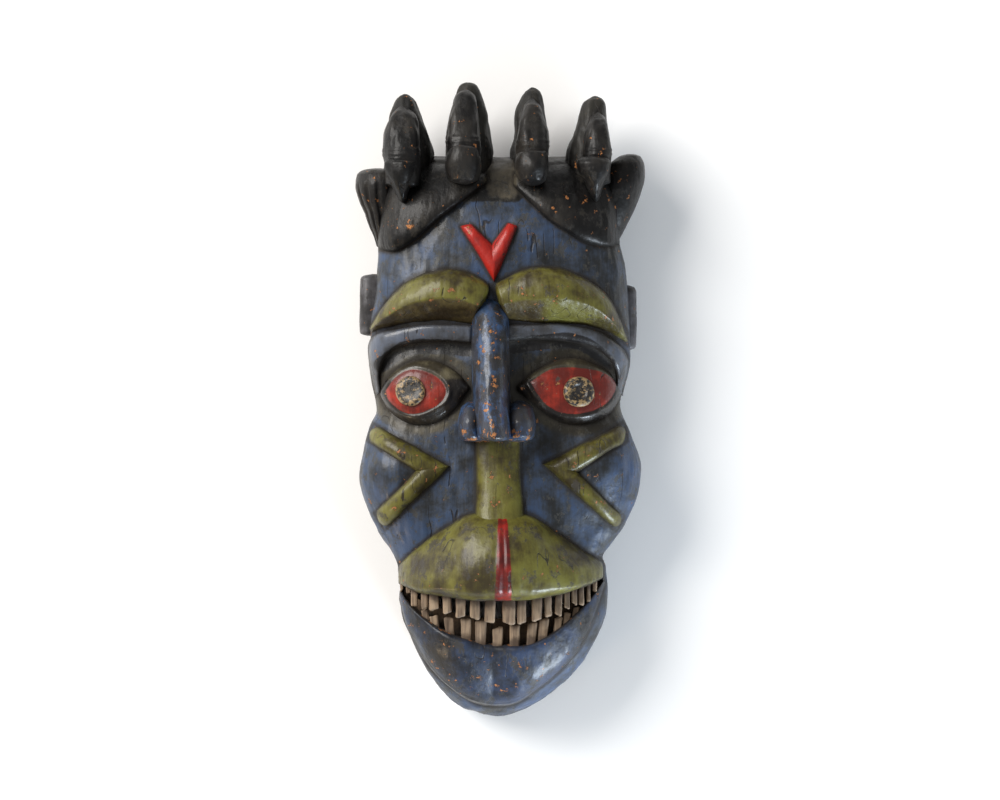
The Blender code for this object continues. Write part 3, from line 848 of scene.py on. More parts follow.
def finishes() -> dict[Coat, Any]:
    """Every finish of the mask, by its coat.

    Returns:
        The finishes, not yet built.
    """
    black_stroke = Zone("stroke", (0.005, 0.005, 0.006), (0.018, 0.018, 0.021))
    hair_line = Zone("hair", (0.004, 0.004, 0.004), (0.018, 0.016, 0.014), -0.8, 0.8, 2.5)
    dusty = Zone("dusty", (0.038, 0.032, 0.023), (0.110, 0.094, 0.066), 0.35, 0.85, 0.9)
    socket = Zone("socket", (0.022, 0.019, 0.013), (0.085, 0.073, 0.048), -3.0, 3.0, 7.0)
    # Painted shade: the brow undersides darkened to brown.
    shaded_underside = Zone("shaded_underside", (0.032, 0.022, 0.008), (0.090, 0.068, 0.020), 0.3, 0.8, 0.6)
    green = ((0.031, 0.023, 0.007), (0.078, 0.067, 0.012), (0.138, 0.130, 0.024))
    red = Zone("red", (0.10, 0.008, 0.004), (0.33, 0.024, 0.010), -0.5, 0.5, 1.4)
    stripe = Zone("stripe", (0.08, 0.006, 0.005), (0.28, 0.014, 0.008), -0.4, 0.4, 1.6)
    lid = Zone("lid", (0.034, 0.028, 0.018), (0.120, 0.104, 0.062), 0.3, 0.8, 0.7)
    paints = (
        Paint(
            Coat.BLUE, (0.012, 0.013, 0.014), (0.031, 0.041, 0.060), (0.036, 0.064, 0.130),
            (socket, black_stroke, hair_line, dusty), scuff=(0.047, 0.046, 0.041), scuffs=0.55,
        ),
        Paint(
            Coat.LID, (0.030, 0.030, 0.032), (0.064, 0.070, 0.084), (0.085, 0.102, 0.140),
            (black_stroke,), scuff=(0.058, 0.052, 0.044), rough=0.30, varnish=0.35,
        ),
        Paint(
            Coat.JAW, (0.005, 0.005, 0.006), (0.015, 0.019, 0.029), (0.024, 0.041, 0.088),
            scuff=(0.036, 0.033, 0.028), scuffs=0.54, rough=0.36, varnish=0.16,
        ),
        Paint(
            Coat.NOSE, (0.010, 0.010, 0.012), (0.025, 0.042, 0.078), (0.038, 0.082, 0.185),
            scuff=(0.022, 0.019, 0.017), scuffs=0.475, scuff_scale=42.0, rough=0.30, varnish=0.3,
            chips=0.655,
        ),
        Paint(Coat.GREEN, *green, (shaded_underside,), cracks=0.50, rough=0.35, varnish=0.16, chips=0.665),
        Paint(Coat.LIP, *green, (stripe,), rough=0.36, varnish=0.2, scuffs=0.545),
        Paint(Coat.RED, (0.10, 0.006, 0.004), (0.30, 0.010, 0.006), (0.42, 0.018, 0.009), scuffs=0.60),
        Paint(
            Coat.HAIR, (0.003, 0.003, 0.003), (0.007, 0.0065, 0.0065), (0.019, 0.017, 0.015), (dusty,),
            dirt_and_shade=(0.006, 0.005, 0.004), scuff=(0.024, 0.021, 0.017), scuffs=0.56, rough=0.36,
            varnish=0.10, relief=0.0024, gleam=0.22,
        ),
        Paint(
            Coat.BLADE, (0.003, 0.003, 0.003), (0.008, 0.0075, 0.0065), (0.022, 0.020, 0.016), (dusty,),
            dirt_and_shade=(0.006, 0.005, 0.004), scuff=(0.026, 0.023, 0.019), scuffs=0.55, rough=0.46,
            varnish=0.04, relief=0.0024, gleam=0.28,
        ),
        Paint(
            Coat.EAR, (0.022, 0.021, 0.022), (0.062, 0.060, 0.066), (0.115, 0.112, 0.120),
            rough=0.45, varnish=0.1,
        ),
        Paint(
            Coat.EYE, (0.005, 0.004, 0.004), (0.013, 0.010, 0.008), (0.036, 0.028, 0.018), (lid, red),
            rough=0.30, varnish=0.30, scuffs=0.60,
        ),
    )
    woods = (
        BareWood(Coat.TOOTH, (0.110, 0.074, 0.048), (0.350, 0.255, 0.170), (0.060, 0.038, 0.025)),
        BareWood(Coat.WOOD, (0.060, 0.034, 0.017), (0.170, 0.104, 0.054), (0.022, 0.014, 0.008)),
    )
    made: dict[Coat, Any] = {finish.coat: finish for finish in (*paints, *woods)}
    made[Coat.IRIS] = IrisPaint()
    return made


def dome(share: Array, ridge: float, flanks: tuple[float, float]) -> Array:
    """Height across a carved form: 0 at both edges and 1 on its ridge.

    Args:
        share: places across the form, 0 at its low edge and 1 at its high edge.
        ridge: where the ridge lies.
        flanks: powers of the low and the high flank; a full flank has a high power.

    Returns:
        The heights.
    """
    low = (1 - np.clip((ridge - share) / ridge, 0, 1) ** flanks[0]) ** (1 / flanks[0])
    high = (1 - np.clip((share - ridge) / (1 - ridge), 0, 1) ** flanks[1]) ** (1 / flanks[1])
    return np.where(share < ridge, low, high)


@dataclass(frozen=True)
class Leaf:
    """A carved form on the head's front, between a low edge and a high edge, in squares."""

    low: Sequence[tuple[float, float]]
    high: Sequence[tuple[float, float]]
    rise: Knots
    ridge: float = 0.5
    flanks: tuple[float, float] = (2.2, 2.2)
    straight: bool = False
    tip: float = 0.05
    blunt: float = 0.0
    sunk: float = 7.0
    drown: float = 2.2

    def outline(self, count: int = 36) -> Array:
        """The closed line round the form, as (n, 2) places."""
        share = np.linspace(0, 1, count)
        low, high = trail(self.low, share, self.straight), trail(self.high, share, self.straight)
        return np.vstack((low, high[::-1], low[:1]))

    def surface(
        self,
        head: HeadForm,
        rows: int,
        across: int,
        carve: Callable[[Array, Array, Array], Array] | None = None,
    ) -> tuple[Array, dict[str, Array]]:
        """Work out the form's rings: its carved top from the low edge to the high one, then its bed.

        A place lies on the straight line between the two edges, which close in on each other at a
        blunt end. Its height is the head's front, less the depth at which the edges drown in it, plus
        rise(run) * dome(share), rounded off at both ends.

        Args:
            head: the head under it.
            rows: rings along the form.
            across: points over its top.
            carve: extra height for (places, run, share).

        Returns:
            The rings, and the grime with painted shade along the edges, and the wear at their points.
        """
        run = spaced(0, 1, rows)
        low, high = trail(self.low, run, self.straight), trail(self.high, run, self.straight)
        share = eased(across)
        if self.blunt:
            narrow = np.sqrt(1 - np.clip(1 - np.minimum(run, 1 - run) / self.blunt, 0, 1) ** 2)[:, None]
            middle = (low + high) / 2
            low, high = middle + (low - middle) * narrow, middle + (high - middle) * narrow
        place = low[:, None] * (1 - share)[:, None] + high[:, None] * share[:, None]
        end = (1 - np.clip(1 - np.minimum(run, 1 - run) / self.tip, 0, 1) ** 2.4) ** (1 / 2.4)
        lift = dome(share, self.ridge, self.flanks) * end[:, None]
        base = head.front(place[..., 0], place[..., 1])
        out = base - self.drown + (smooth(run, self.rise)[:, None] + self.drown) * lift
        if carve:
            out = out + carve(place, run[:, None], share[None]) * lift
        top = np.dstack((place, out))
        bed = np.dstack((place, base - self.sunk))[:, [-1, 0]]
        # Painted shade with grime: darker towards both edges, in the crease where the form meets the head.
        width = np.linalg.norm(high - low, axis=1)[:, None]
        margin = np.minimum(share, 1 - share) * width
        grime_and_shade = np.exp(-margin / 2.6)
        worn = step(lift, 0.80, 1.0)
        pad = ((0, 0), (0, 2))
        marks = {"grime_and_shade": np.pad(grime_and_shade, pad, mode="edge"), "worn": np.pad(worn, pad)}
        return np.concatenate((top, bed), axis=1), marks


@dataclass(frozen=True)
class Spindle:
    """A free-standing carved form whose level sections are superellipses, with rounded ends, in squares.

    Each section is (up, across, half width, out, half depth).
    """

    sections: Sequence[tuple[float, float, float, float, float]]
    power: float = 2.0
    low_round: float = 6.0
    high_round: float = 6.0

    def surface(
        self,
        rows: int,
        around: int,
        carve: Callable[[Array, Array], Array] | None = None,
    ) -> tuple[Array, dict[str, Array]]:
        """Work out the form's rings, one above another, on smooth curves through its sections.

        Near both ends the section shrinks as the square root of 1 - (1 - d / reach) ** 2.

        Args:
            rows: rings up the form.
            around: points round each ring.
            carve: a factor of the half sizes for (up, angle).

        Returns:
            The rings, and the grime with painted shade at the foot and on the side facing back, and the wear
            at their points.
        """
        knots = np.array(sorted(self.sections))
        up = knots[0, 0] + (knots[-1, 0] - knots[0, 0]) * eased(rows)
        across, wide, out, deep = (smooth(up, knots[:, (0, k)]) for k in (1, 2, 3, 4))
        low = np.clip(1 - (up - up[0]) / max(self.low_round, 1e-6), 0, 1)
        high = np.clip(1 - (up[-1] - up) / max(self.high_round, 1e-6), 0, 1)
        cap = np.sqrt(1 - low**2) * np.sqrt(1 - high**2) * 0.985 + 0.015
        angle = np.linspace(0, 2 * np.pi, around, endpoint=False)[None]
        factor = cap[:, None] * (carve(up[:, None], angle) if carve else 1)
        cosine, sine = np.cos(angle), np.sin(angle)
        x = across[:, None] + wide[:, None] * factor * bulged(cosine, 2 / self.power)
        z = out[:, None] + deep[:, None] * factor * bulged(sine, 2 / self.power)
        rings = np.dstack((x, np.repeat(up[:, None], around, axis=1), z))
        # Painted shade with grime: darker near the form's lower end, and on the side turned back towards the
        # head.
        grime_and_shade = np.repeat(np.exp(-(up - up[0]) / 5)[:, None], around, axis=1) * 0.6
        grime_and_shade = grime_and_shade + 0.6 * step(-sine, -0.2, 0.6)
        worn = step(sine, 0.5, 1.0) * np.ones_like(grime_and_shade)
        return rings, {"grime_and_shade": grime_and_shade, "worn": worn}


@dataclass
class Carving:
    """A sub-assembly of the mask: its pieces are built on the head, then dressed."""

    shop: Workshop
    made: list[tuple[bpy.types.Object, Coat]] = field(default_factory=list)

    def leaves(self) -> list[Leaf]:
        """The forms of this sub-assembly that lie on the face."""
        return [value for value in vars(self).values() if isinstance(value, Leaf)]

    def add_leaf(
        self,
        name: str,
        leaf: Leaf,
        coat: Coat,
        size: tuple[int, int],
        seed: int,
        carve: Callable[[Array, Array, Array], Array] | None = None,
        dents: float = 0.9,
    ) -> None:
        """Build one form that lies on the face.

        Args:
            name: the piece's name.
            leaf: its shape.
            coat: its finish.
            size: rings along it and points over it.
            seed: picks the knife marks.
            carve: extra height for (places, run, share).
            dents: the knife marks' depth.
        """
        rings, marks = leaf.surface(self.shop.head, *size, carve)
        rings = hand_cut(rings, seed, dents)
        self.made.append((self.shop.skin(name, rings, self.extra_marks(rings, marks)), coat))

    def extra_marks(self, rings: Array, marks: dict[str, Array]) -> dict[str, Array]:
        """Marks of this sub-assembly's own, added to the common ones."""
        return marks

    def add_spindle(
        self,
        name: str,
        spindle: Spindle,
        coat: Coat,
        size: tuple[int, int],
        seed: int,
        carve: Callable[[Array, Array], Array] | None = None,
        dents: float = 0.8,
    ) -> None:
        """Build one free-standing form.

        Args:
            name: the piece's name.
            spindle: its shape.
            coat: its finish.
            size: rings up it and points round it.
            seed: picks the knife marks.
            carve: a factor of the half sizes for (up, angle).
            dents: the knife marks' depth.
        """
        rings, marks = spindle.surface(*size, carve)
        rings = hand_cut(rings, seed, dents, 18.0, 6.0)
        self.made.append((self.shop.skin(name, rings, self.extra_marks(rings, marks)), coat))

    def build(self) -> None:
        """Build the pieces."""
        raise NotImplementedError

    def dress(self) -> None:
        """Give each piece its finish."""
        for piece, coat in self.made:
            piece.data.materials.append(self.shop.finishes[coat])


@dataclass
class Head(Carving):
    """The head itself: painted shell, flat rim and gouged hollow."""

    outlines: Sequence[Array] = ()
    rows: int = 330
    arc: int = 209
    wall_points: int = 7
    lining_arc: int = 41
    hollow_fall: float = 12.0
    hollow_least: float = 0.2
    climb_points: int = 5
    sockets: Sequence[Array] = ()
    stroke_groove: tuple[float, float, float] = (2.4, 0.0, 6.0)
    dents: float = 1.6

    def rings(self) -> tuple[Array, int]:
        """Work out the shell: foot, wall, front, wall and foot outside, then the hollow inside.

        Returns:
            The rings, and the place around them where the hollow's lining starts.
        """
        head = self.shop.head
        wall = WALL / self.shop.square
        up = spaced(head.chin, head.crown, self.rows)
        left, right = smooth(up, head.left), smooth(up, head.right)
        middle, half = ((left + right) / 2)[:, None], ((right - left) / 2)[:, None]
        angle = np.linspace(-np.pi / 2, np.pi / 2, self.arc)
        outer = middle + half * bulged(np.sin(angle), 2 / head.power)
        front = self.section(up, outer, head.front(outer, up[:, None]))
        rise = np.linspace(0, 1, self.wall_points)[None, :-1, None]
        feet = [self.section(up, middle + side * half * head.tuck, 0 * half) for side in (-1, 1)]
        left_wall = feet[0] * (1 - rise) + front[:, :1] * rise
        right_wall = (feet[1] * (1 - rise) + front[:, -1:] * rise)[:, ::-1]

        turn = np.linspace(np.pi / 2, -np.pi / 2, self.lining_arc)
        inner_wide = bulged(np.sin(turn), 2 / head.power)
        inner_half = np.maximum(half - wall[0], half * self.hollow_least)
        over = middle + half * inner_wide
        reach = np.minimum(up - head.chin, head.crown - up) - wall[1]
        share = np.clip(reach / self.hollow_fall, 0, 1)[:, None]
        ceiling = (head.front(over, up[:, None]) - wall[2]) * np.sqrt(1 - (1 - share) ** 2)
        ceiling = np.maximum(ceiling, 0)
        lining = self.section(up, middle + inner_half * inner_wide, ceiling)
        inner_feet = [self.section(up, middle + side * inner_half * head.tuck, 0 * half) for side in (1, -1)]
        climb = np.linspace(0, 1, self.climb_points)[None, :-1, None]
        first = inner_feet[0] * (1 - climb) + lining[:, :1] * climb
        last = (inner_feet[1] * (1 - climb) + lining[:, -1:] * climb)[:, ::-1]
        outside = (left_wall, front, right_wall)
        start = sum(piece.shape[1] for piece in outside)
        return np.concatenate((*outside, first, lining, last), axis=1), start

    @staticmethod
    def section(up: Array, across: Array, out: Array) -> Array:
        """Join across, up and out into places."""
        return np.dstack((across, np.repeat(up[:, None], across.shape[1], axis=1), out))

    def build(self) -> None:
        """Carve the shell and mark where its paint changes."""
        rings, lining = self.rings()
        ground = step(rings[..., 2], 0.0, 9.0)[..., None]
        marks = self.marks(rings, lining)
        beyond = np.minimum(marks["stroke"] - self.shop.lines.stroke_half, 0)
        groove = bell(beyond, *self.stroke_groove)
        rings[:, :lining, 2] -= (groove * ground[..., 0])[:, :lining]
        cut = hand_cut(rings, 11, self.dents)
        cut = rings + (cut - rings) * ground
        gouge = self.dents * lattice_noise(rings, (9, 30, 9), 12)
        cut[:, lining:, 2] += (gouge * ground[..., 0])[:, lining:]
        self.made.append((self.shop.skin("mask_shell", cut, marks, lining=lining), Coat.BLUE))

    def marks(self, rings: Array, lining: int) -> dict[str, Array]:
        """Where the head's paint changes, from distances to the painted lines, and where painted shade with
        grime darkens it.

        Args:
            rings: the shell's rings.
            lining: where the hollow's lining starts around them.

        Returns:
            The marks.
        """
        flat = rings[..., :2].reshape(-1, 2)
        shape = rings.shape[:2]
        lines = self.shop.lines
        hair = lines.hair(flat).reshape(shape)
        stroke = lines.stroke(flat).reshape(shape)
        socket = lines.socket(flat, self.sockets).reshape(shape)
        carved = np.minimum.reduce([line_distance(flat, outline) for outline in self.outlines])
        # Painted shade with grime: darker along the carved forms' outlines, where they meet the shell, and
        # where the shell's front falls low towards its rim; the hollow gets an even 0.4.
        grime_and_shade = np.exp(-carved / 3.2).reshape(shape)
        low = 1 - step(rings[..., 2], 20.0, 62.0)
        grime_and_shade = np.maximum(grime_and_shade, 0.75 * low)
        grime_and_shade[:, lining:] = 0.4
        x, y = rings[..., 0], rings[..., 1]
        dusty = step(y, 182, 196) * step(x, -20, -6) * (1 - step(x, 12, 24)) * (1 - 0.6 * step(y, 224, 231))
        side = np.abs(self.shop.head.share(x, y))
        worn = 0.6 * step(side, 0.82, 0.95) * (1 - low)
        worn[:, lining:] = 0
        return {
            "hair": hair, "stroke": stroke, "socket": socket, "grime_and_shade": grime_and_shade, "dusty": dusty, "worn": worn,
        }

    def dress(self) -> None:
        """Paint the shell and leave the hollow bare."""
        shell = self.made[0][0]
        shell.data.materials.append(self.shop.finishes[Coat.BLUE])
        shell.data.materials.append(self.shop.finishes[Coat.WOOD])


@dataclass
class Brows(Carving):
    """The two heavy brows."""

    left: Leaf = Leaf(
        ((-122, 64), (-106, 68), (-82, 72), (-58, 73), (-40, 72), (-25, 71.5)),
        ((-123, 69), (-110, 89), (-88, 111), (-60, 122), (-33, 121), (-7, 106)),
        ((0, 9), (0.25, 22), (0.6, 27), (1, 20)), 0.46, (1.25, 2.4), tip=0.035, blunt=0.03,
    )
    right: Leaf = Leaf(
        ((5, 73.5), (30, 71), (58, 71), (80, 71), (100, 63), (120, 52)),
        ((-8, 108), (24, 123), (56, 123), (85, 111), (106, 92), (122, 58)),
        ((0, 20), (0.4, 27), (0.75, 22), (1, 8)), 0.46, (1.25, 2.4), tip=0.035, blunt=0.03,
    )
    # Painted shade on the brow undersides: where it ends across each brow, and where across the head it fades
    # out, leaving the right brow's underside lit.
    shaded_underside: tuple[float, float] = (0.34, 0.52)
    unshaded_from: tuple[float, float] = (25.0, 60.0)

    def extra_marks(self, rings: Array, marks: dict[str, Array]) -> dict[str, Array]:
        """Mark the painted shade on each brow's brown underside, from its low edge to its ridge, fading out
        from 25 to 60 squares across so most of the right brow is left unshaded.
        """
        share = eased(rings.shape[1] - 2)
        under = np.pad(1 - step(share, *self.shaded_underside), (0, 2))
        shown = 1 - step(rings[..., 0], *self.unshaded_from)
        return marks | {"shaded_underside": under[None] * shown}

    def build(self) -> None:
        """Build both brows."""
        self.add_leaf("brow_left_carving", self.left, Coat.GREEN, (230, 88), 21, dents=1.3)
        self.add_leaf("brow_right_carving", self.right, Coat.GREEN, (230, 88), 23, dents=1.3)


@dataclass
class Eyes(Carving):
    """The bulging eyes, the lid band over each and the knob of each iris."""

    lid_left: Leaf = Leaf(
        ((-113, 8), (-113, 28), (-102, 46), (-78, 53), (-52, 54), (-26, 53)),
        ((-117, 4), (-123.5, 34), (-120, 60), (-82, 70), (-52, 71), (-26, 70)),
        ((0, 4), (0.3, 10), (0.7, 8), (1, 5)), 0.42, (2.4, 3.2), drown=0.5, tip=0.03,
    )
    lid_right: Leaf = Leaf(
        ((6, 54), (34, 56), (62, 55), (91, 47), (108, 29), (110, 8)),
        ((6, 71), (34, 71.5), (62, 71), (98, 62), (121, 38), (116, 4)),
        ((0, 5), (0.4, 8), (0.7, 10), (1, 4)), 0.42, (2.4, 3.2), drown=0.5, tip=0.03,
    )
    left: Leaf = Leaf(
        ((-113, 4), (-104, -11), (-84, -23), (-62, -22), (-42, -9), (-28, 9)),
        ((-113, 9), (-104, 24), (-82, 37), (-60, 37), (-42, 28), (-28, 13)),
        ((0, 7), (0.4, 17), (0.7, 14), (1, 5)),
    )
    right: Leaf = Leaf(
        ((15, 9), (32, -6), (54, -20), (78, -23.5), (102, -14), (114, 3)),
        ((15, 13), (34, 28), (58, 39), (80, 38), (103, 26), (114, 8)),
        ((0, 5), (0.3, 14), (0.6, 17), (1, 7)),
    )
    whites: tuple[Sequence[tuple[float, float]], ...] = (
        ((-107.7, 8.6), (-97, 22), (-81.3, 29), (-61, 22.8), (-50.8, 10.7), (-54.9, -1.5),
         (-73.2, -11.7), (-89.4, -11.7), (-103.7, -1.5), (-107.7, 8.6)),
        ((28.4, 16.8), (48.7, 29), (77, 29.8), (97.6, 24.9), (109, 14.7), (101.6, -1.5),
         (81.3, -11.7), (56.9, -11.7), (40.6, -1.5), (28.4, 16.8)),
    )
    knobs: tuple[tuple[float, float, float, float], ...] = ((-84, 8.5, 14, 21), (74, 7.5, 14.4, 21))
    knob_side: tuple[float, float] = (-7.0, 3.0)
    knob_shoulder: float = 0.30
    knob_face: tuple[float, float, int] = (0.66, 0.02, 16)
    knob_sink: tuple[float, float] = (0.36, 0.62)
    knob_around: int = 72
    rim: tuple[float, float, float] = (1.3, -3.2, 2.6)
    rim_groove: tuple[float, float, float] = (0.5, 0.0, 1.6)
    lid_from: tuple[float, float] = (15.0, 24.0)

    def loops(self) -> list[Array]:
        """The line round each red eyeball."""
        return [trail(loop, np.linspace(0, 1, 72)) for loop in self.whites]

    def eyeball(self, place: Array) -> Array:
        """How deep places lie in either red eyeball: positive inside and negative outside."""
        flat = place[..., :2].reshape(-1, 2)
        depth = np.maximum(*(depth_in(flat, loop) for loop in self.loops()))
        return depth.reshape(place.shape[:-1])

    def extra_marks(self, rings: Array, marks: dict[str, Array]) -> dict[str, Array]:
        """Mark the red of the eyeballs, the paler upper rims, and the strokes that reach the lids."""
        flat = rings[..., :2].reshape(-1, 2)
        stroke = self.shop.lines.stroke(flat).reshape(rings.shape[:2])
        return marks | {
            "red": self.eyeball(rings), "lid": step(rings[..., 1], *self.lid_from), "stroke": stroke,
        }

    def build(self) -> None:
        """Build the lid bands, the eyes with a raised rim round each eyeball, and the knobs."""
        def rim(place: Array, run: Array, share: Array) -> Array:
            """A low rim just outside the eyeball, and a groove where it starts."""
            depth = self.eyeball(place)
            return bell(depth, *self.rim) - bell(depth, *self.rim_groove)

        self.add_leaf("lid_left_carving", self.lid_left, Coat.LID, (150, 40), 31)
        self.add_leaf("lid_right_carving", self.lid_right, Coat.LID, (150, 40), 32)
        self.add_leaf("eye_left_carving", self.left, Coat.EYE, (176, 100), 33, rim, 0.5)
        self.add_leaf("eye_right_carving", self.right, Coat.EYE, (176, 100), 34, rim, 0.5)
        for name, knob, recess in (("left", self.knobs[0], 0.5), ("right", self.knobs[1], 2.2)):
            rings, marks = self.knob(knob, recess)
            rings = hand_cut(rings, 35, 0.5, 9.0, 4.0)
            self.made.append((self.shop.skin(f"iris_{name}_knob", rings, marks), Coat.IRIS))

    def knob(self, place: tuple[float, float, float, float], recess: float) -> tuple[Array, dict[str, Array]]:
        """Turn a round knob: a straight side, a rounded shoulder and a sunk middle.

        Args:
            place: its place across and up, radius and rise, in squares.
            recess: how deep its middle is sunk.

        Returns:
            The rings, and how far each point lies from the knob's middle.
        """
        across, up, radius, rise = place
        turn = np.linspace(0, np.pi / 2, 14)
        shoulder = self.knob_shoulder * radius
        face = np.linspace(*self.knob_face)
        reach = np.concatenate((
            [radius, radius], radius - shoulder + shoulder * np.cos(turn), radius * face,
        ))
        sink = recess * (1 - step(face, *self.knob_sink))
        height = np.concatenate((self.knob_side, rise - shoulder + shoulder * np.sin(turn), rise - sink))
        angle = np.linspace(0, 2 * np.pi, self.knob_around, endpoint=False)
        x = across + reach[:, None] * np.cos(angle)
        y = up + reach[:, None] * np.sin(angle)
        z = self.shop.head.front(x, y) + height[:, None]
        ring = np.repeat((reach / radius)[:, None], len(angle), axis=1)
        return np.dstack((x, y, z)), {"ring": ring, "grime_and_shade": 0 * ring, "worn": 0 * ring}


@dataclass
class Nose(Carving):
    """The long nose with its two nostrils, and the band from it to the lip."""

    bridge: Spindle = Spindle(
        (
            (95, -10, 4, 102, 9), (90, -10, 10, 104, 16), (80, -9.5, 15.5, 106, 24), (62, -9, 17.5, 108, 29),
            (0, -8, 17.5, 113, 46), (-24, -6, 17.5, 114, 57), (-34, -5, 17, 114, 58), (-38, -4, 16, 114, 54),
        ),
        2.1, 2.0, 5.0,
    )
    nostril_left: Spindle = Spindle(
        (
            (-1, -27, 4, 108, 14), (-8, -27, 9.5, 110, 25), (-22, -28, 12, 112, 32),
            (-33, -27, 12, 112, 32), (-39, -25, 11, 110, 28),
        ),
        2.2, 2.0, 5.0,
    )
    nostril_right: Spindle = Spindle(
        (
            (-1, 18, 6, 108, 14), (-8, 18.5, 12, 110, 26), (-22, 18.5, 15, 112, 34),
            (-33, 18, 15, 112, 34), (-39, 16, 13, 110, 28),
        ),
        2.2, 2.0, 5.0,
    )
    philtrum: Leaf = Leaf(
        ((-22.5, -32), (-22.5, -70), (-24, -108), (-26, -118)),
        ((19.5, -32), (19.5, -70), (23, -108), (25, -118)),
        ((0, 13), (0.6, 15), (1, 19)), 0.5, (2.6, 2.6), tip=0.02,
    )
    worn_from: tuple[float, float] = (20.0, 34.0)
    band_top: float = -40.0

    def extra_marks(self, rings: Array, marks: dict[str, Array]) -> dict[str, Array]:
        """Wear the nose and its wings down to brown wood near their lower ends."""
        low = step(-rings[..., 1], *self.worn_from) * (rings[..., 1] > self.band_top)
        return marks | {"worn": marks["worn"] + 1.6 * low}

    def build(self) -> None:
        """Build the nose, its nostrils and the band under it."""
        self.add_spindle("nose_carving", self.bridge, Coat.NOSE, (220, 120), 41, dents=1.0)
        self.add_spindle("nostril_left_carving", self.nostril_left, Coat.NOSE, (90, 96), 42)
        self.add_spindle("nostril_right_carving", self.nostril_right, Coat.NOSE, (90, 96), 43)
        self.add_leaf("philtrum_carving", self.philtrum, Coat.GREEN, (120, 60), 44)


@dataclass
class Marks(Carving):
    """The bars carved on the cheeks and the forehead."""

    cheek_left: Leaf = Leaf(
        ((-125, -38), (-79, -66.5), (-119, -107)), ((-119, -22.5), (-46.5, -62), (-109, -123)),
        ((0, 8), (0.15, 10), (0.85, 10), (1, 8)), straight=True, blunt=0.055,
    )
    cheek_right: Leaf = Leaf(
        ((119, -39), (72, -67.5), (117, -110)), ((118, -20.5), (39, -60), (110, -124)),
        ((0, 8), (0.15, 10), (0.85, 10), (1, 8)), straight=True, blunt=0.055,
    )
    forehead: Leaf = Leaf(
        ((-26, 165), (-7.5, 146), (7, 166)), ((-38, 163), (-5.5, 110), (17, 163)),
        ((0, 5), (0.15, 8), (0.5, 7), (0.85, 8), (1, 5)), straight=True, tip=0.03,
    )

    def build(self) -> None:
        """Build the three marks."""
        self.add_leaf("cheek_mark_left_carving", self.cheek_left, Coat.GREEN, (241, 60), 51)
        self.add_leaf("cheek_mark_right_carving", self.cheek_right, Coat.GREEN, (241, 60), 52)
        self.add_leaf("forehead_mark_carving", self.forehead, Coat.RED, (161, 48), 53, dents=0.6)


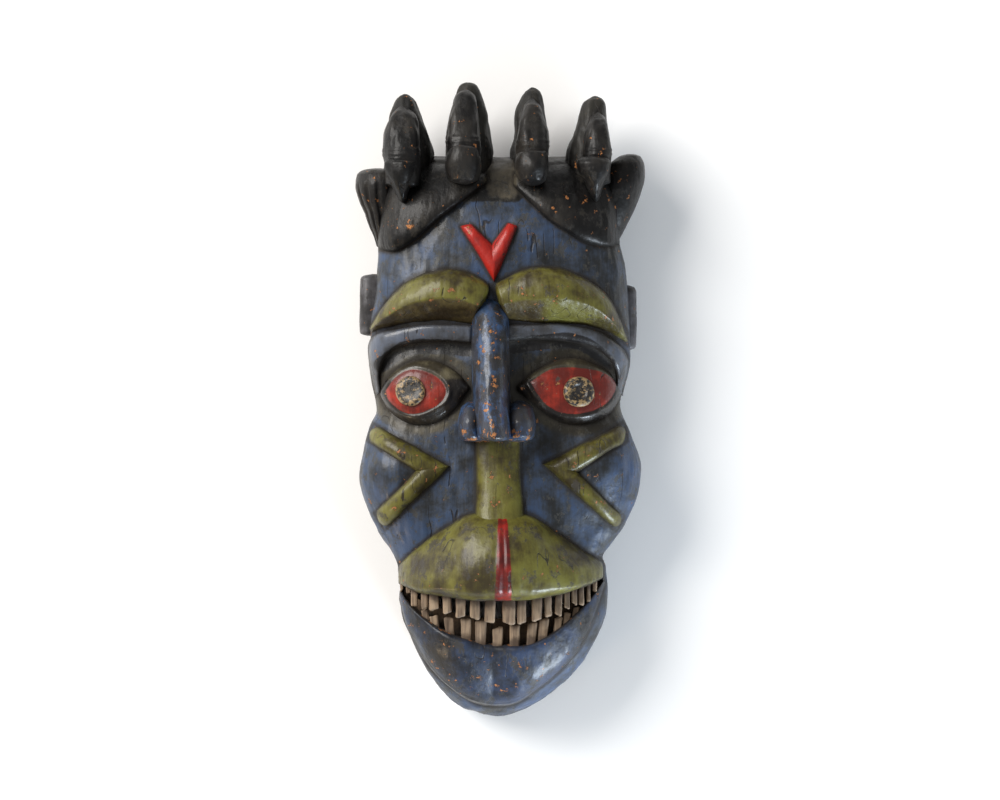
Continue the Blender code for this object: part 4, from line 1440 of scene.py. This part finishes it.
@dataclass
class Mouth(Carving):
    """The heavy upper lip with its red stripe, the jaw, the open mouth and the pegs."""

    shell: bpy.types.Object | None = None
    lip: Leaf = Leaf(
        ((-96, -174), (-76, -181), (-50, -185), (-22, -188), (22, -188), (52, -184), (78, -177), (98, -168)),
        ((-96, -155), (-70, -132), (-46, -116), (-24, -105), (22, -105), (53, -123), (77, -140), (98, -152)),
        ((0, 14), (0.25, 33), (0.5, 42), (0.75, 33), (1, 14)), 0.16, (2.6, 1.8), tip=0.03,
    )
    jaw: Leaf = Leaf(
        ((-95, -188), (-88, -214), (-75, -241), (-52, -268), (-24, -286), (8, -289), (38, -272), (66, -246),
         (86, -213), (99, -174)),
        ((-94, -180), (-84, -193), (-65, -208), (-45, -219), (-23, -226), (0, -229), (26, -228), (50, -217),
         (76, -195), (98, -170)),
        ((0, 10), (0.2, 20), (0.4, 28), (0.5, 26), (0.6, 28), (0.8, 20), (1, 10)), 0.66, (4.5, 5.0), tip=0.03,
    )
    low: Sequence[tuple[float, float]] = (
        (-94, -180), (-84, -194), (-65, -209), (-45, -221), (-23, -228), (0, -232), (26, -230),
        (50, -219), (76, -197), (97, -171),
    )
    high: Sequence[tuple[float, float]] = (
        (-94, -172), (-84, -177), (-65, -181), (-45, -184.5), (-23, -187), (0, -187), (26, -186),
        (50, -183), (76, -176.5), (97, -166.5),
    )
    throat_share: float = 0.42
    throat_sides: tuple[float, float] = (0.15, 0.85)
    stripe: Knots = ((-190, 2.5), (-150, 3.5), (-105, 2.0))
    stripe_half: Knots = ((-190, 8.0), (-150, 6.5), (-105, 4.0))
    cuts: int = 40
    floor_cut: float = 6.0
    cleft: tuple[float, float, float] = (-1.5, -5.6, 4.6)
    dip: tuple[float, float, float] = (-3.4, -4.0, 17.0)
    jaw_edge: tuple[float, float, float] = (1.6, 0.045, 0.02)
    worn_feet: tuple[float, float] = (0.955, 0.995)
    worn_spot: tuple[float, float, float, float] = (-48.0, -272.0, 11.0, 14.0)
    pegs_below: float = -166.0
    stripe_ridge: float = 1.9
    stripe_groove: tuple[float, float, float] = (0.5, 0.0, 0.25)
    peg_rings: int = 15
    peg_around: int = 28
    peg_corner: float = 0.42
    peg_fan: float = 0.045

    def peg_out(self, across: Array) -> Array:
        """How far out the middle of an upper peg stands."""
        run = np.linspace(0, 1, 60)
        edge = trail(self.lip.low, run)
        rise = np.interp(across, edge[:, 0], smooth(run, self.lip.rise))
        up = np.interp(across, edge[:, 0], edge[:, 1])
        return self.shop.head.front(across, up) + 0.3 * rise

    def opening(self, sides: tuple[float, float], share: float, behind: float) -> Array:
        """The mouth's opening from the lip down to a share of its height, cut to a depth behind the pegs.

        Args:
            sides: where it starts and ends along the mouth.
            share: how much of the mouth's height it takes.
            behind: how far behind the lower pegs it reaches, in squares.

        Returns:
            The rings of the volume.
        """
        run = np.linspace(*sides, self.cuts)
        high = trail(self.high, run)
        low = high + (trail(self.low, run) - high) * share
        floor = self.peg_out(low[:, 0]) - (TOOTH_DEPTH + ROW_GAP) / self.shop.square[2] - behind
        floor = np.minimum(floor, self.shop.head.front(low[:, 0], low[:, 1]) - self.floor_cut)
        lid = np.full(len(run), 1.2 * GRID_SQUARES[2])
        corners = ((low, floor), (high, floor), (high, lid), (low, lid))
        return np.stack([np.column_stack((edge, out)) for edge, out in corners], axis=1)

    def extra_marks(self, rings: Array, marks: dict[str, Array]) -> dict[str, Array]:
        """Mark the stripe down the lip, and the wear at the pegs' feet and low on the jaw."""
        x, y = rings[..., 0], rings[..., 1]
        share = eased(rings.shape[1] - 2)
        feet = np.pad(step(share, *self.worn_feet), (0, 2))[None] * (y < self.pegs_below)
        across, up, reach_across, reach_up = self.worn_spot
        low = np.exp(-(((x - across) / reach_across) ** 2) - ((y - up) / reach_up) ** 2)
        stripe = smooth(y, self.stripe_half) - np.abs(x - smooth(y, self.stripe))
        return marks | {"stripe": stripe, "worn": marks["worn"] + 2.6 * feet + 2.4 * low}

    def carve_lip(self, place: Array, run: Array, share: Array) -> Array:
        """Two low ridges with a groove between them down the stripe."""
        x, y = place[..., 0], place[..., 1]
        over = (x - smooth(y, self.stripe)) / smooth(y, self.stripe_half)
        ridges = bell(over, 1, 0.55, 0.36) + bell(over, 1, -0.55, 0.36)
        return self.stripe_ridge * ridges - bell(over, *self.stripe_groove)

    def carve_jaw(self, place: Array, run: Array, share: Array) -> Array:
        """A broad dip and a cleft down the chin, and a thin lip along the jaw's lower edge."""
        x, y = place[..., 0], place[..., 1]
        window = step(y, -286, -272) * (1 - step(y, -262, -240))
        cleft = bell(x, *self.cleft) * window
        dip = bell(x, *self.dip) * (1 - step(y, -270, -236) * 0.5)
        return cleft + dip + bell(share, *self.jaw_edge)

    def build(self) -> None:
        """Build the lip and the jaw, open the mouth in the shell, and set the pegs."""
        self.add_leaf("lip_carving", self.lip, Coat.LIP, (300, 96), 61, self.carve_lip, 1.0)
        self.add_leaf("jaw_carving", self.jaw, Coat.JAW, (300, 96), 62, self.carve_jaw, 1.0)
        behind = (TOOTH_DEPTH / 2 + POCKET_ROOM) / self.shop.square[2]
        pocket = self.opening((0, 1), 1, behind)
        throat = self.opening(self.throat_sides, self.throat_share, float(GRID_SQUARES[2]))
        if self.shell:
            self.shop.cut(self.shell, (pocket, throat), Coat.WOOD)
        for row, count, direction in (("upper", 19, -1), ("lower", 12, 1)):
            for number in range(1, count + 1):
                self.add_peg(f"{row}_{number:02d}", direction)

    def add_peg(self, name: str, direction: int) -> None:
        """Carve one peg in the frame's own box for it: a worn, slightly leaning bar with blunt corners.

        Args:
            name: the peg's row and number.
            direction: -1 for a peg that points down and 1 for one that points up.
        """
        node = f"tooth_{name}"
        low, high = (np.array(corner) / self.shop.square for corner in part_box(node))
        middle, half = (low + high) / 2, (high - low) / 2
        seed = sum(ord(letter) * (place + 3) for place, letter in enumerate(name))
        chance = np.random.default_rng(seed)
        along = eased(self.peg_rings)
        root = np.where(direction < 0, high[1], low[1])
        tip = np.where(direction < 0, low[1], high[1])
        up = root + (tip - root) * along
        cap = np.sqrt(1 - np.clip(1 - (1 - along) / 0.04, 0, 1) ** 2) * 0.75 + 0.25
        cap = cap * (1 - 0.05 * along if direction < 0 else 0.90 + 0.10 * along)
        angle = np.linspace(0, 2 * np.pi, self.peg_around, endpoint=False)
        wide, deep = bulged(np.cos(angle), self.peg_corner), bulged(np.sin(angle), self.peg_corner)
        fan = 0.0 if direction < 0 else self.peg_fan * (middle[0] + 4)
        lean = (chance.uniform(-0.8, 0.8) + fan) * (along - 0.3)
        slant = chance.uniform(-1.3, 1.3)
        x = middle[0] + lean[:, None] + half[0] * cap[:, None] * wide * 1.02
        z = middle[2] + half[2] * cap[:, None] * deep
        y = up[:, None] + slant * (wide * step(along, 0.5, 1.0)[:, None])
        rings = np.dstack((x, y, z))
        rings = hand_cut(rings, seed, 0.45, 7.0, 3.0)
        # Painted shadow with grime: darker from the root, set back under the lip and jaw, and on each peg's
        # back side.
        grime_and_shade = np.repeat((1 - step(along, 0.1, 0.75))[:, None], len(angle), axis=1) * 0.8
        grime_and_shade = grime_and_shade + 0.5 * step(-deep, -0.2, 0.5)[None]
        marks = {"grime_and_shade": grime_and_shade, "worn": 0 * grime_and_shade}
        piece = self.shop.skin(f"peg_{name}", rings, marks, TOOTH_SLOT, (node,))
        self.made.append((piece, Coat.TOOTH))


@dataclass
class Ears(Carving):
    """The two blocky ears."""

    left: Spindle = Spindle(
        (
            (61, -121, 11, 36, 13), (66, -120, 13, 36, 15), (90, -119.5, 14, 36, 16),
            (114, -120, 13, 36, 15), (120, -120, 10, 36, 12),
        ),
        3.2, 3.0, 3.0,
    )
    right: Spindle = Spindle(
        (
            (47, 118, 9, 36, 13), (53, 117.5, 12, 36, 15), (80, 117, 13, 36, 16),
            (102, 117.5, 12, 36, 15), (109, 117, 9, 36, 12),
        ),
        3.2, 3.0, 3.0,
    )

    def build(self) -> None:
        """Build both ears."""
        self.add_spindle("ear_left_carving", self.left, Coat.EAR, (80, 64), 71)
        self.add_spindle("ear_right_carving", self.right, Coat.EAR, (80, 64), 72)


@dataclass
class Hair(Carving):
    """The black hair: two lobes over the brow, two side locks and four horns."""

    lobe_left: Leaf = Leaf(
        ((-12, 205), (-31, 191), (-54, 172), (-77, 152), (-98, 140), (-115, 142)),
        ((-12, 214), (-31, 220), (-54, 224), (-77, 224), (-98, 222), (-113, 214)),
        ((0, 5), (0.3, 13), (0.8, 15), (1, 9)), 0.35, (3.2, 2.4),
    )
    lobe_right: Leaf = Leaf(
        ((13, 202), (34, 180), (56, 161), (79, 148), (100, 144), (113, 147)),
        ((13, 214), (34, 220), (56, 224), (79, 224), (98, 222), (112, 214)),
        ((0, 5), (0.3, 13), (0.8, 15), (1, 9)), 0.35, (3.2, 2.4),
    )
    lock_left: Spindle = Spindle(
        (
            (143, -108, 8.5, 44, 16), (155, -109.5, 10.5, 46, 20), (175, -110.5, 17.5, 49, 27),
            (188, -113, 20.5, 50, 30), (203, -113.5, 23.25, 51, 31), (213, -113, 22.5, 51, 28),
            (219.5, -110.5, 17, 50, 20),
        ),
        2.2, 3.0, 3.0,
    )
    lock_right: Spindle = Spindle(
        (
            (146, 101.5, 8.5, 44, 16), (161, 104.5, 13, 47, 23), (185, 109, 20.5, 50, 29),
            (205, 114, 22, 51, 31), (222, 119.5, 17, 51, 27), (233, 124, 8, 50, 16),
        ),
        2.4, 3.0, 3.0,
    )
    blades: tuple[Spindle, ...] = (
        Spindle(
            ((196, -88, 22, 58, 26), (228, -86, 23, 60, 28), (262, -88, 17, 62, 22), (280, -89, 11, 64, 15),
             (288, -89, 5, 66, 7)), 2.6, 3.0, 4.0,
        ),
        Spindle(
            ((196, -30, 21, 58, 26), (232, -29, 22, 60, 29), (268, -29, 17, 62, 23), (291, -30, 11, 64, 15),
             (300, -30, 6, 66, 8)), 2.6, 3.0, 4.0,
        ),
        Spindle(
            ((196, 29, 16, 58, 26), (232, 28.5, 17.5, 60, 28), (262, 29, 15, 62, 22), (287, 30, 10, 64, 14),
             (295, 31, 5, 66, 7)), 2.6, 3.0, 4.0,
        ),
        Spindle(
            ((196, 82, 19, 58, 26), (230, 82.5, 20, 60, 28), (258, 86, 15, 62, 21), (280, 89, 10, 64, 13),
             (288, 89.5, 4.5, 66, 7)), 2.6, 3.0, 4.0,
        ),
    )
    fingers: tuple[Spindle, ...] = (
        Spindle(
            ((200, -92, 16, 88, 20), (226, -92, 17, 90, 22), (248, -92, 16, 88, 19), (266, -92, 12, 84, 14),
             (276, -92, 4, 80, 6)), 2.8, 3.0, 7.0,
        ),
        Spindle(
            ((204, -34, 14, 90, 22), (240, -34.5, 16.5, 92, 22), (268, -34, 13.5, 88, 17),
             (284, -33, 9, 84, 12), (292, -32, 3, 80, 5)), 2.8, 3.0, 7.0,
        ),
        Spindle(
            ((204, 30, 13, 90, 22), (238, 30.5, 14.5, 92, 22), (262, 30.5, 12, 88, 16),
             (277, 30.5, 8, 84, 11), (284, 30.5, 3, 80, 5)), 2.8, 3.0, 7.0,
        ),
        Spindle(
            ((202, 91, 13, 88, 20), (228, 91.5, 13.5, 90, 21), (250, 92, 12, 88, 17), (264, 92, 8.5, 84, 12),
             (272, 92, 3, 80, 5)), 2.8, 3.0, 7.0,
        ),
    )
    drops: tuple[Spindle, ...] = (
        Spindle(
            ((185, -91, 2, 96, 10), (200, -92, 8, 98, 16), (216, -92, 15, 99, 20), (226, -92, 16.5, 99, 20),
             (229, -92, 12, 97, 15)), 2.3, 5.0, 8.0,
        ),
        Spindle(
            ((201, -34, 8, 99, 15), (206, -34, 13.5, 101, 20), (221, -34.3, 17, 103, 23),
             (236, -34.5, 14.5, 102, 20), (241, -34.5, 9, 100, 15)), 2.6, 6.0, 6.0,
        ),
        Spindle(
            ((201, 30, 7, 99, 15), (206, 30, 12, 101, 20), (219, 30, 15.5, 103, 23), (232, 30, 13.5, 102, 20),
             (237, 30, 8, 100, 15)), 2.6, 6.0, 6.0,
        ),
        Spindle(
            ((188, 90, 2, 96, 10), (202, 89, 8, 98, 16), (216, 88, 14, 99, 20), (226, 87.5, 16, 99, 20),
             (229, 88, 11, 97, 15)), 2.3, 5.0, 8.0,
        ),
    )
    cords: tuple[float, ...] = (1.5, 5.5)
    cord_rise: float = 0.035
    cord_half: float = 1.4
    strands: float = 0.10
    strands_end: tuple[float, float] = (192.0, 210.0)

    def extra_marks(self, rings: Array, marks: dict[str, Array]) -> dict[str, Array]:
        """Dust lies where the hair meets the crown's middle."""
        x, y = rings[..., 0], rings[..., 1]
        dusty = step(x, -26, -12) * (1 - step(x, 12, 26)) * (1 - step(y, 205, 230)) * 0.7
        return marks | {"dusty": dusty}

    def build(self) -> None:
        """Build the lobes, the locks and the horns."""
        def strands(up: Array, angle: Array) -> Array:
            """Four strands side by side on the lock's front."""
            groove = (0.5 + 0.5 * np.cos(13 * angle + 0.02 * up)) ** 5
            return 1 - self.strands * groove * (1 - step(up, *self.strands_end))

        self.add_leaf("lobe_left_carving", self.lobe_left, Coat.HAIR, (180, 66), 81, dents=1.4)
        self.add_leaf("lobe_right_carving", self.lobe_right, Coat.HAIR, (180, 66), 82, dents=1.4)
        self.add_spindle("lock_left_carving", self.lock_left, Coat.HAIR, (110, 120), 83, strands)
        self.add_spindle("lock_right_carving", self.lock_right, Coat.HAIR, (110, 120), 84)
        for number, (blade, finger, drop) in enumerate(zip(self.blades, self.fingers, self.drops), 1):
            seed = 85 + 4 * number
            self.add_spindle(f"horn_{number}_blade", blade, Coat.BLADE, (112, 84), seed, dents=1.9)
            levels = drop.sections[-1][0] + np.array(self.cords)

            def cords(up: Array, angle: Array, levels: Array = levels) -> Array:
                """Thin cords round the finger, just above its drop."""
                return 1 + self.cord_rise * sum(bell(up, 1, level, self.cord_half) for level in levels)

            self.add_spindle(f"horn_{number}_finger", finger, Coat.HAIR, (104, 76), seed + 1, cords, 1.9)
            self.add_spindle(f"horn_{number}_drop", drop, Coat.HAIR, (72, 76), seed + 2, dents=1.6)


@dataclass(frozen=True)
class Lamp:
    """A soft square lamp that faces a point on the mask."""

    name: str
    place: tuple[float, float, float]
    size: float
    power: float
    colour: Colour
    aim: tuple[float, float, float] = (0.0, 0.0, 0.08)


@dataclass
class Studio:
    """The pale floor, the soft light and the camera that looks straight down."""

    camera_height: float = 5.0
    picture_width: float = 0.94
    picture_plane: float = 0.09
    sensor: float = 36.0
    floor_half: float = 6.0
    floor_colour: Colour = (0.96, 0.96, 0.96)
    world_colour: Colour = (1.0, 1.0, 1.0)
    world_strength: float = 0.34
    lamps: tuple[Lamp, ...] = (
        Lamp("key_lamp", (-2.6, 1.8, 2.4), 2.5, 212.0, (1.0, 0.97, 0.93)),
        Lamp("window_lamp", (1.05, -1.60, 0.42), 0.7, 50.0, (0.78, 0.89, 1.0)),
        Lamp("low_lamp", (-1.4, -1.3, 0.5), 0.4, 6.0, (1.0, 0.76, 0.48)),
    )

    def build(self) -> None:
        """Lay the floor, light it and set the camera."""
        scene = bpy.context.scene
        half = self.floor_half
        mesh = bpy.data.meshes.new("floor")
        corners = [(-half, -half, 0.0), (half, -half, 0.0), (half, half, 0.0), (-half, half, 0.0)]
        mesh.from_pydata(corners, [], [(0, 1, 2, 3)])
        floor = bpy.data.objects.new("floor", mesh)
        scene.collection.objects.link(floor)
        graph = Graph("floor_paper")
        graph.surface((*self.floor_colour, 1.0), 0.9, None, 0.0, 0.3)
        mesh.materials.append(graph.material)
        floor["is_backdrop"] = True
        world = bpy.data.worlds.new("soft_room")
        world.use_nodes = True
        back = world.node_tree.nodes["Background"]
        back.inputs["Color"].default_value = (*self.world_colour, 1.0)
        back.inputs["Strength"].default_value = self.world_strength
        scene.world = world
        for lamp in self.lamps:
            data = bpy.data.lights.new(lamp.name, "AREA")
            data.size = lamp.size
            data.energy = lamp.power
            data.color = lamp.colour
            light = bpy.data.objects.new(lamp.name, data)
            light.location = lamp.place
            facing = Vector(lamp.aim) - Vector(lamp.place)
            light.rotation_euler = facing.to_track_quat("-Z", "Y").to_euler()
            scene.collection.objects.link(light)
        data = bpy.data.cameras.new("camera")
        data.sensor_width = self.sensor
        data.lens = self.sensor * (self.camera_height - self.picture_plane) / self.picture_width
        data.clip_end = 30.0
        camera = bpy.data.objects.new("camera", data)
        camera.location = (0.0, 0.0, self.camera_height)
        scene.collection.objects.link(camera)
        scene.camera = camera
        scene.view_settings.view_transform = "Standard"


def plain(values: Any) -> Any:
    """Turn vectors and arrays into plain nested lists."""
    if isinstance(values, dict):
        return {key: plain(value) for key, value in values.items()}
    if isinstance(values, (list, tuple, Vector)) or hasattr(values, "tolist"):
        return [plain(value) for value in values]
    return float(values) if isinstance(values, (int, float)) else values


def main() -> None:
    """Build each sub-assembly on the frame, dress it, and set the studio round it."""
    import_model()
    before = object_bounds()
    low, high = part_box(MASK_NODE)
    square = (np.array(high) - np.array(low)) / GRID_SQUARES
    shop = Workshop(HeadForm(), square)
    shop.finishes = {coat: finish.build() for coat, finish in finishes().items()}
    eyes, mouth = Eyes(shop), Mouth(shop)
    details = [Brows(shop), eyes, Nose(shop), Marks(shop), mouth, Ears(shop), Hair(shop)]
    outlines = [leaf.outline() for detail in details for leaf in detail.leaves()]
    sockets = [leaf.outline() for leaf in (eyes.left, eyes.right)]
    head = Head(shop, outlines=outlines, sockets=sockets)
    head.build()
    head.dress()
    mouth.shell = head.made[0][0]
    for detail in details:
        detail.build()
        detail.dress()
        LOG.info("%s: %d pieces", type(detail).__name__, len(detail.made))
    Studio().build()
    {"frame": plain(before), "dressed": plain(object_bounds())}


if __name__ == "__main__":
    logging.basicConfig(level=logging.INFO, format="%(message)s")
    main()
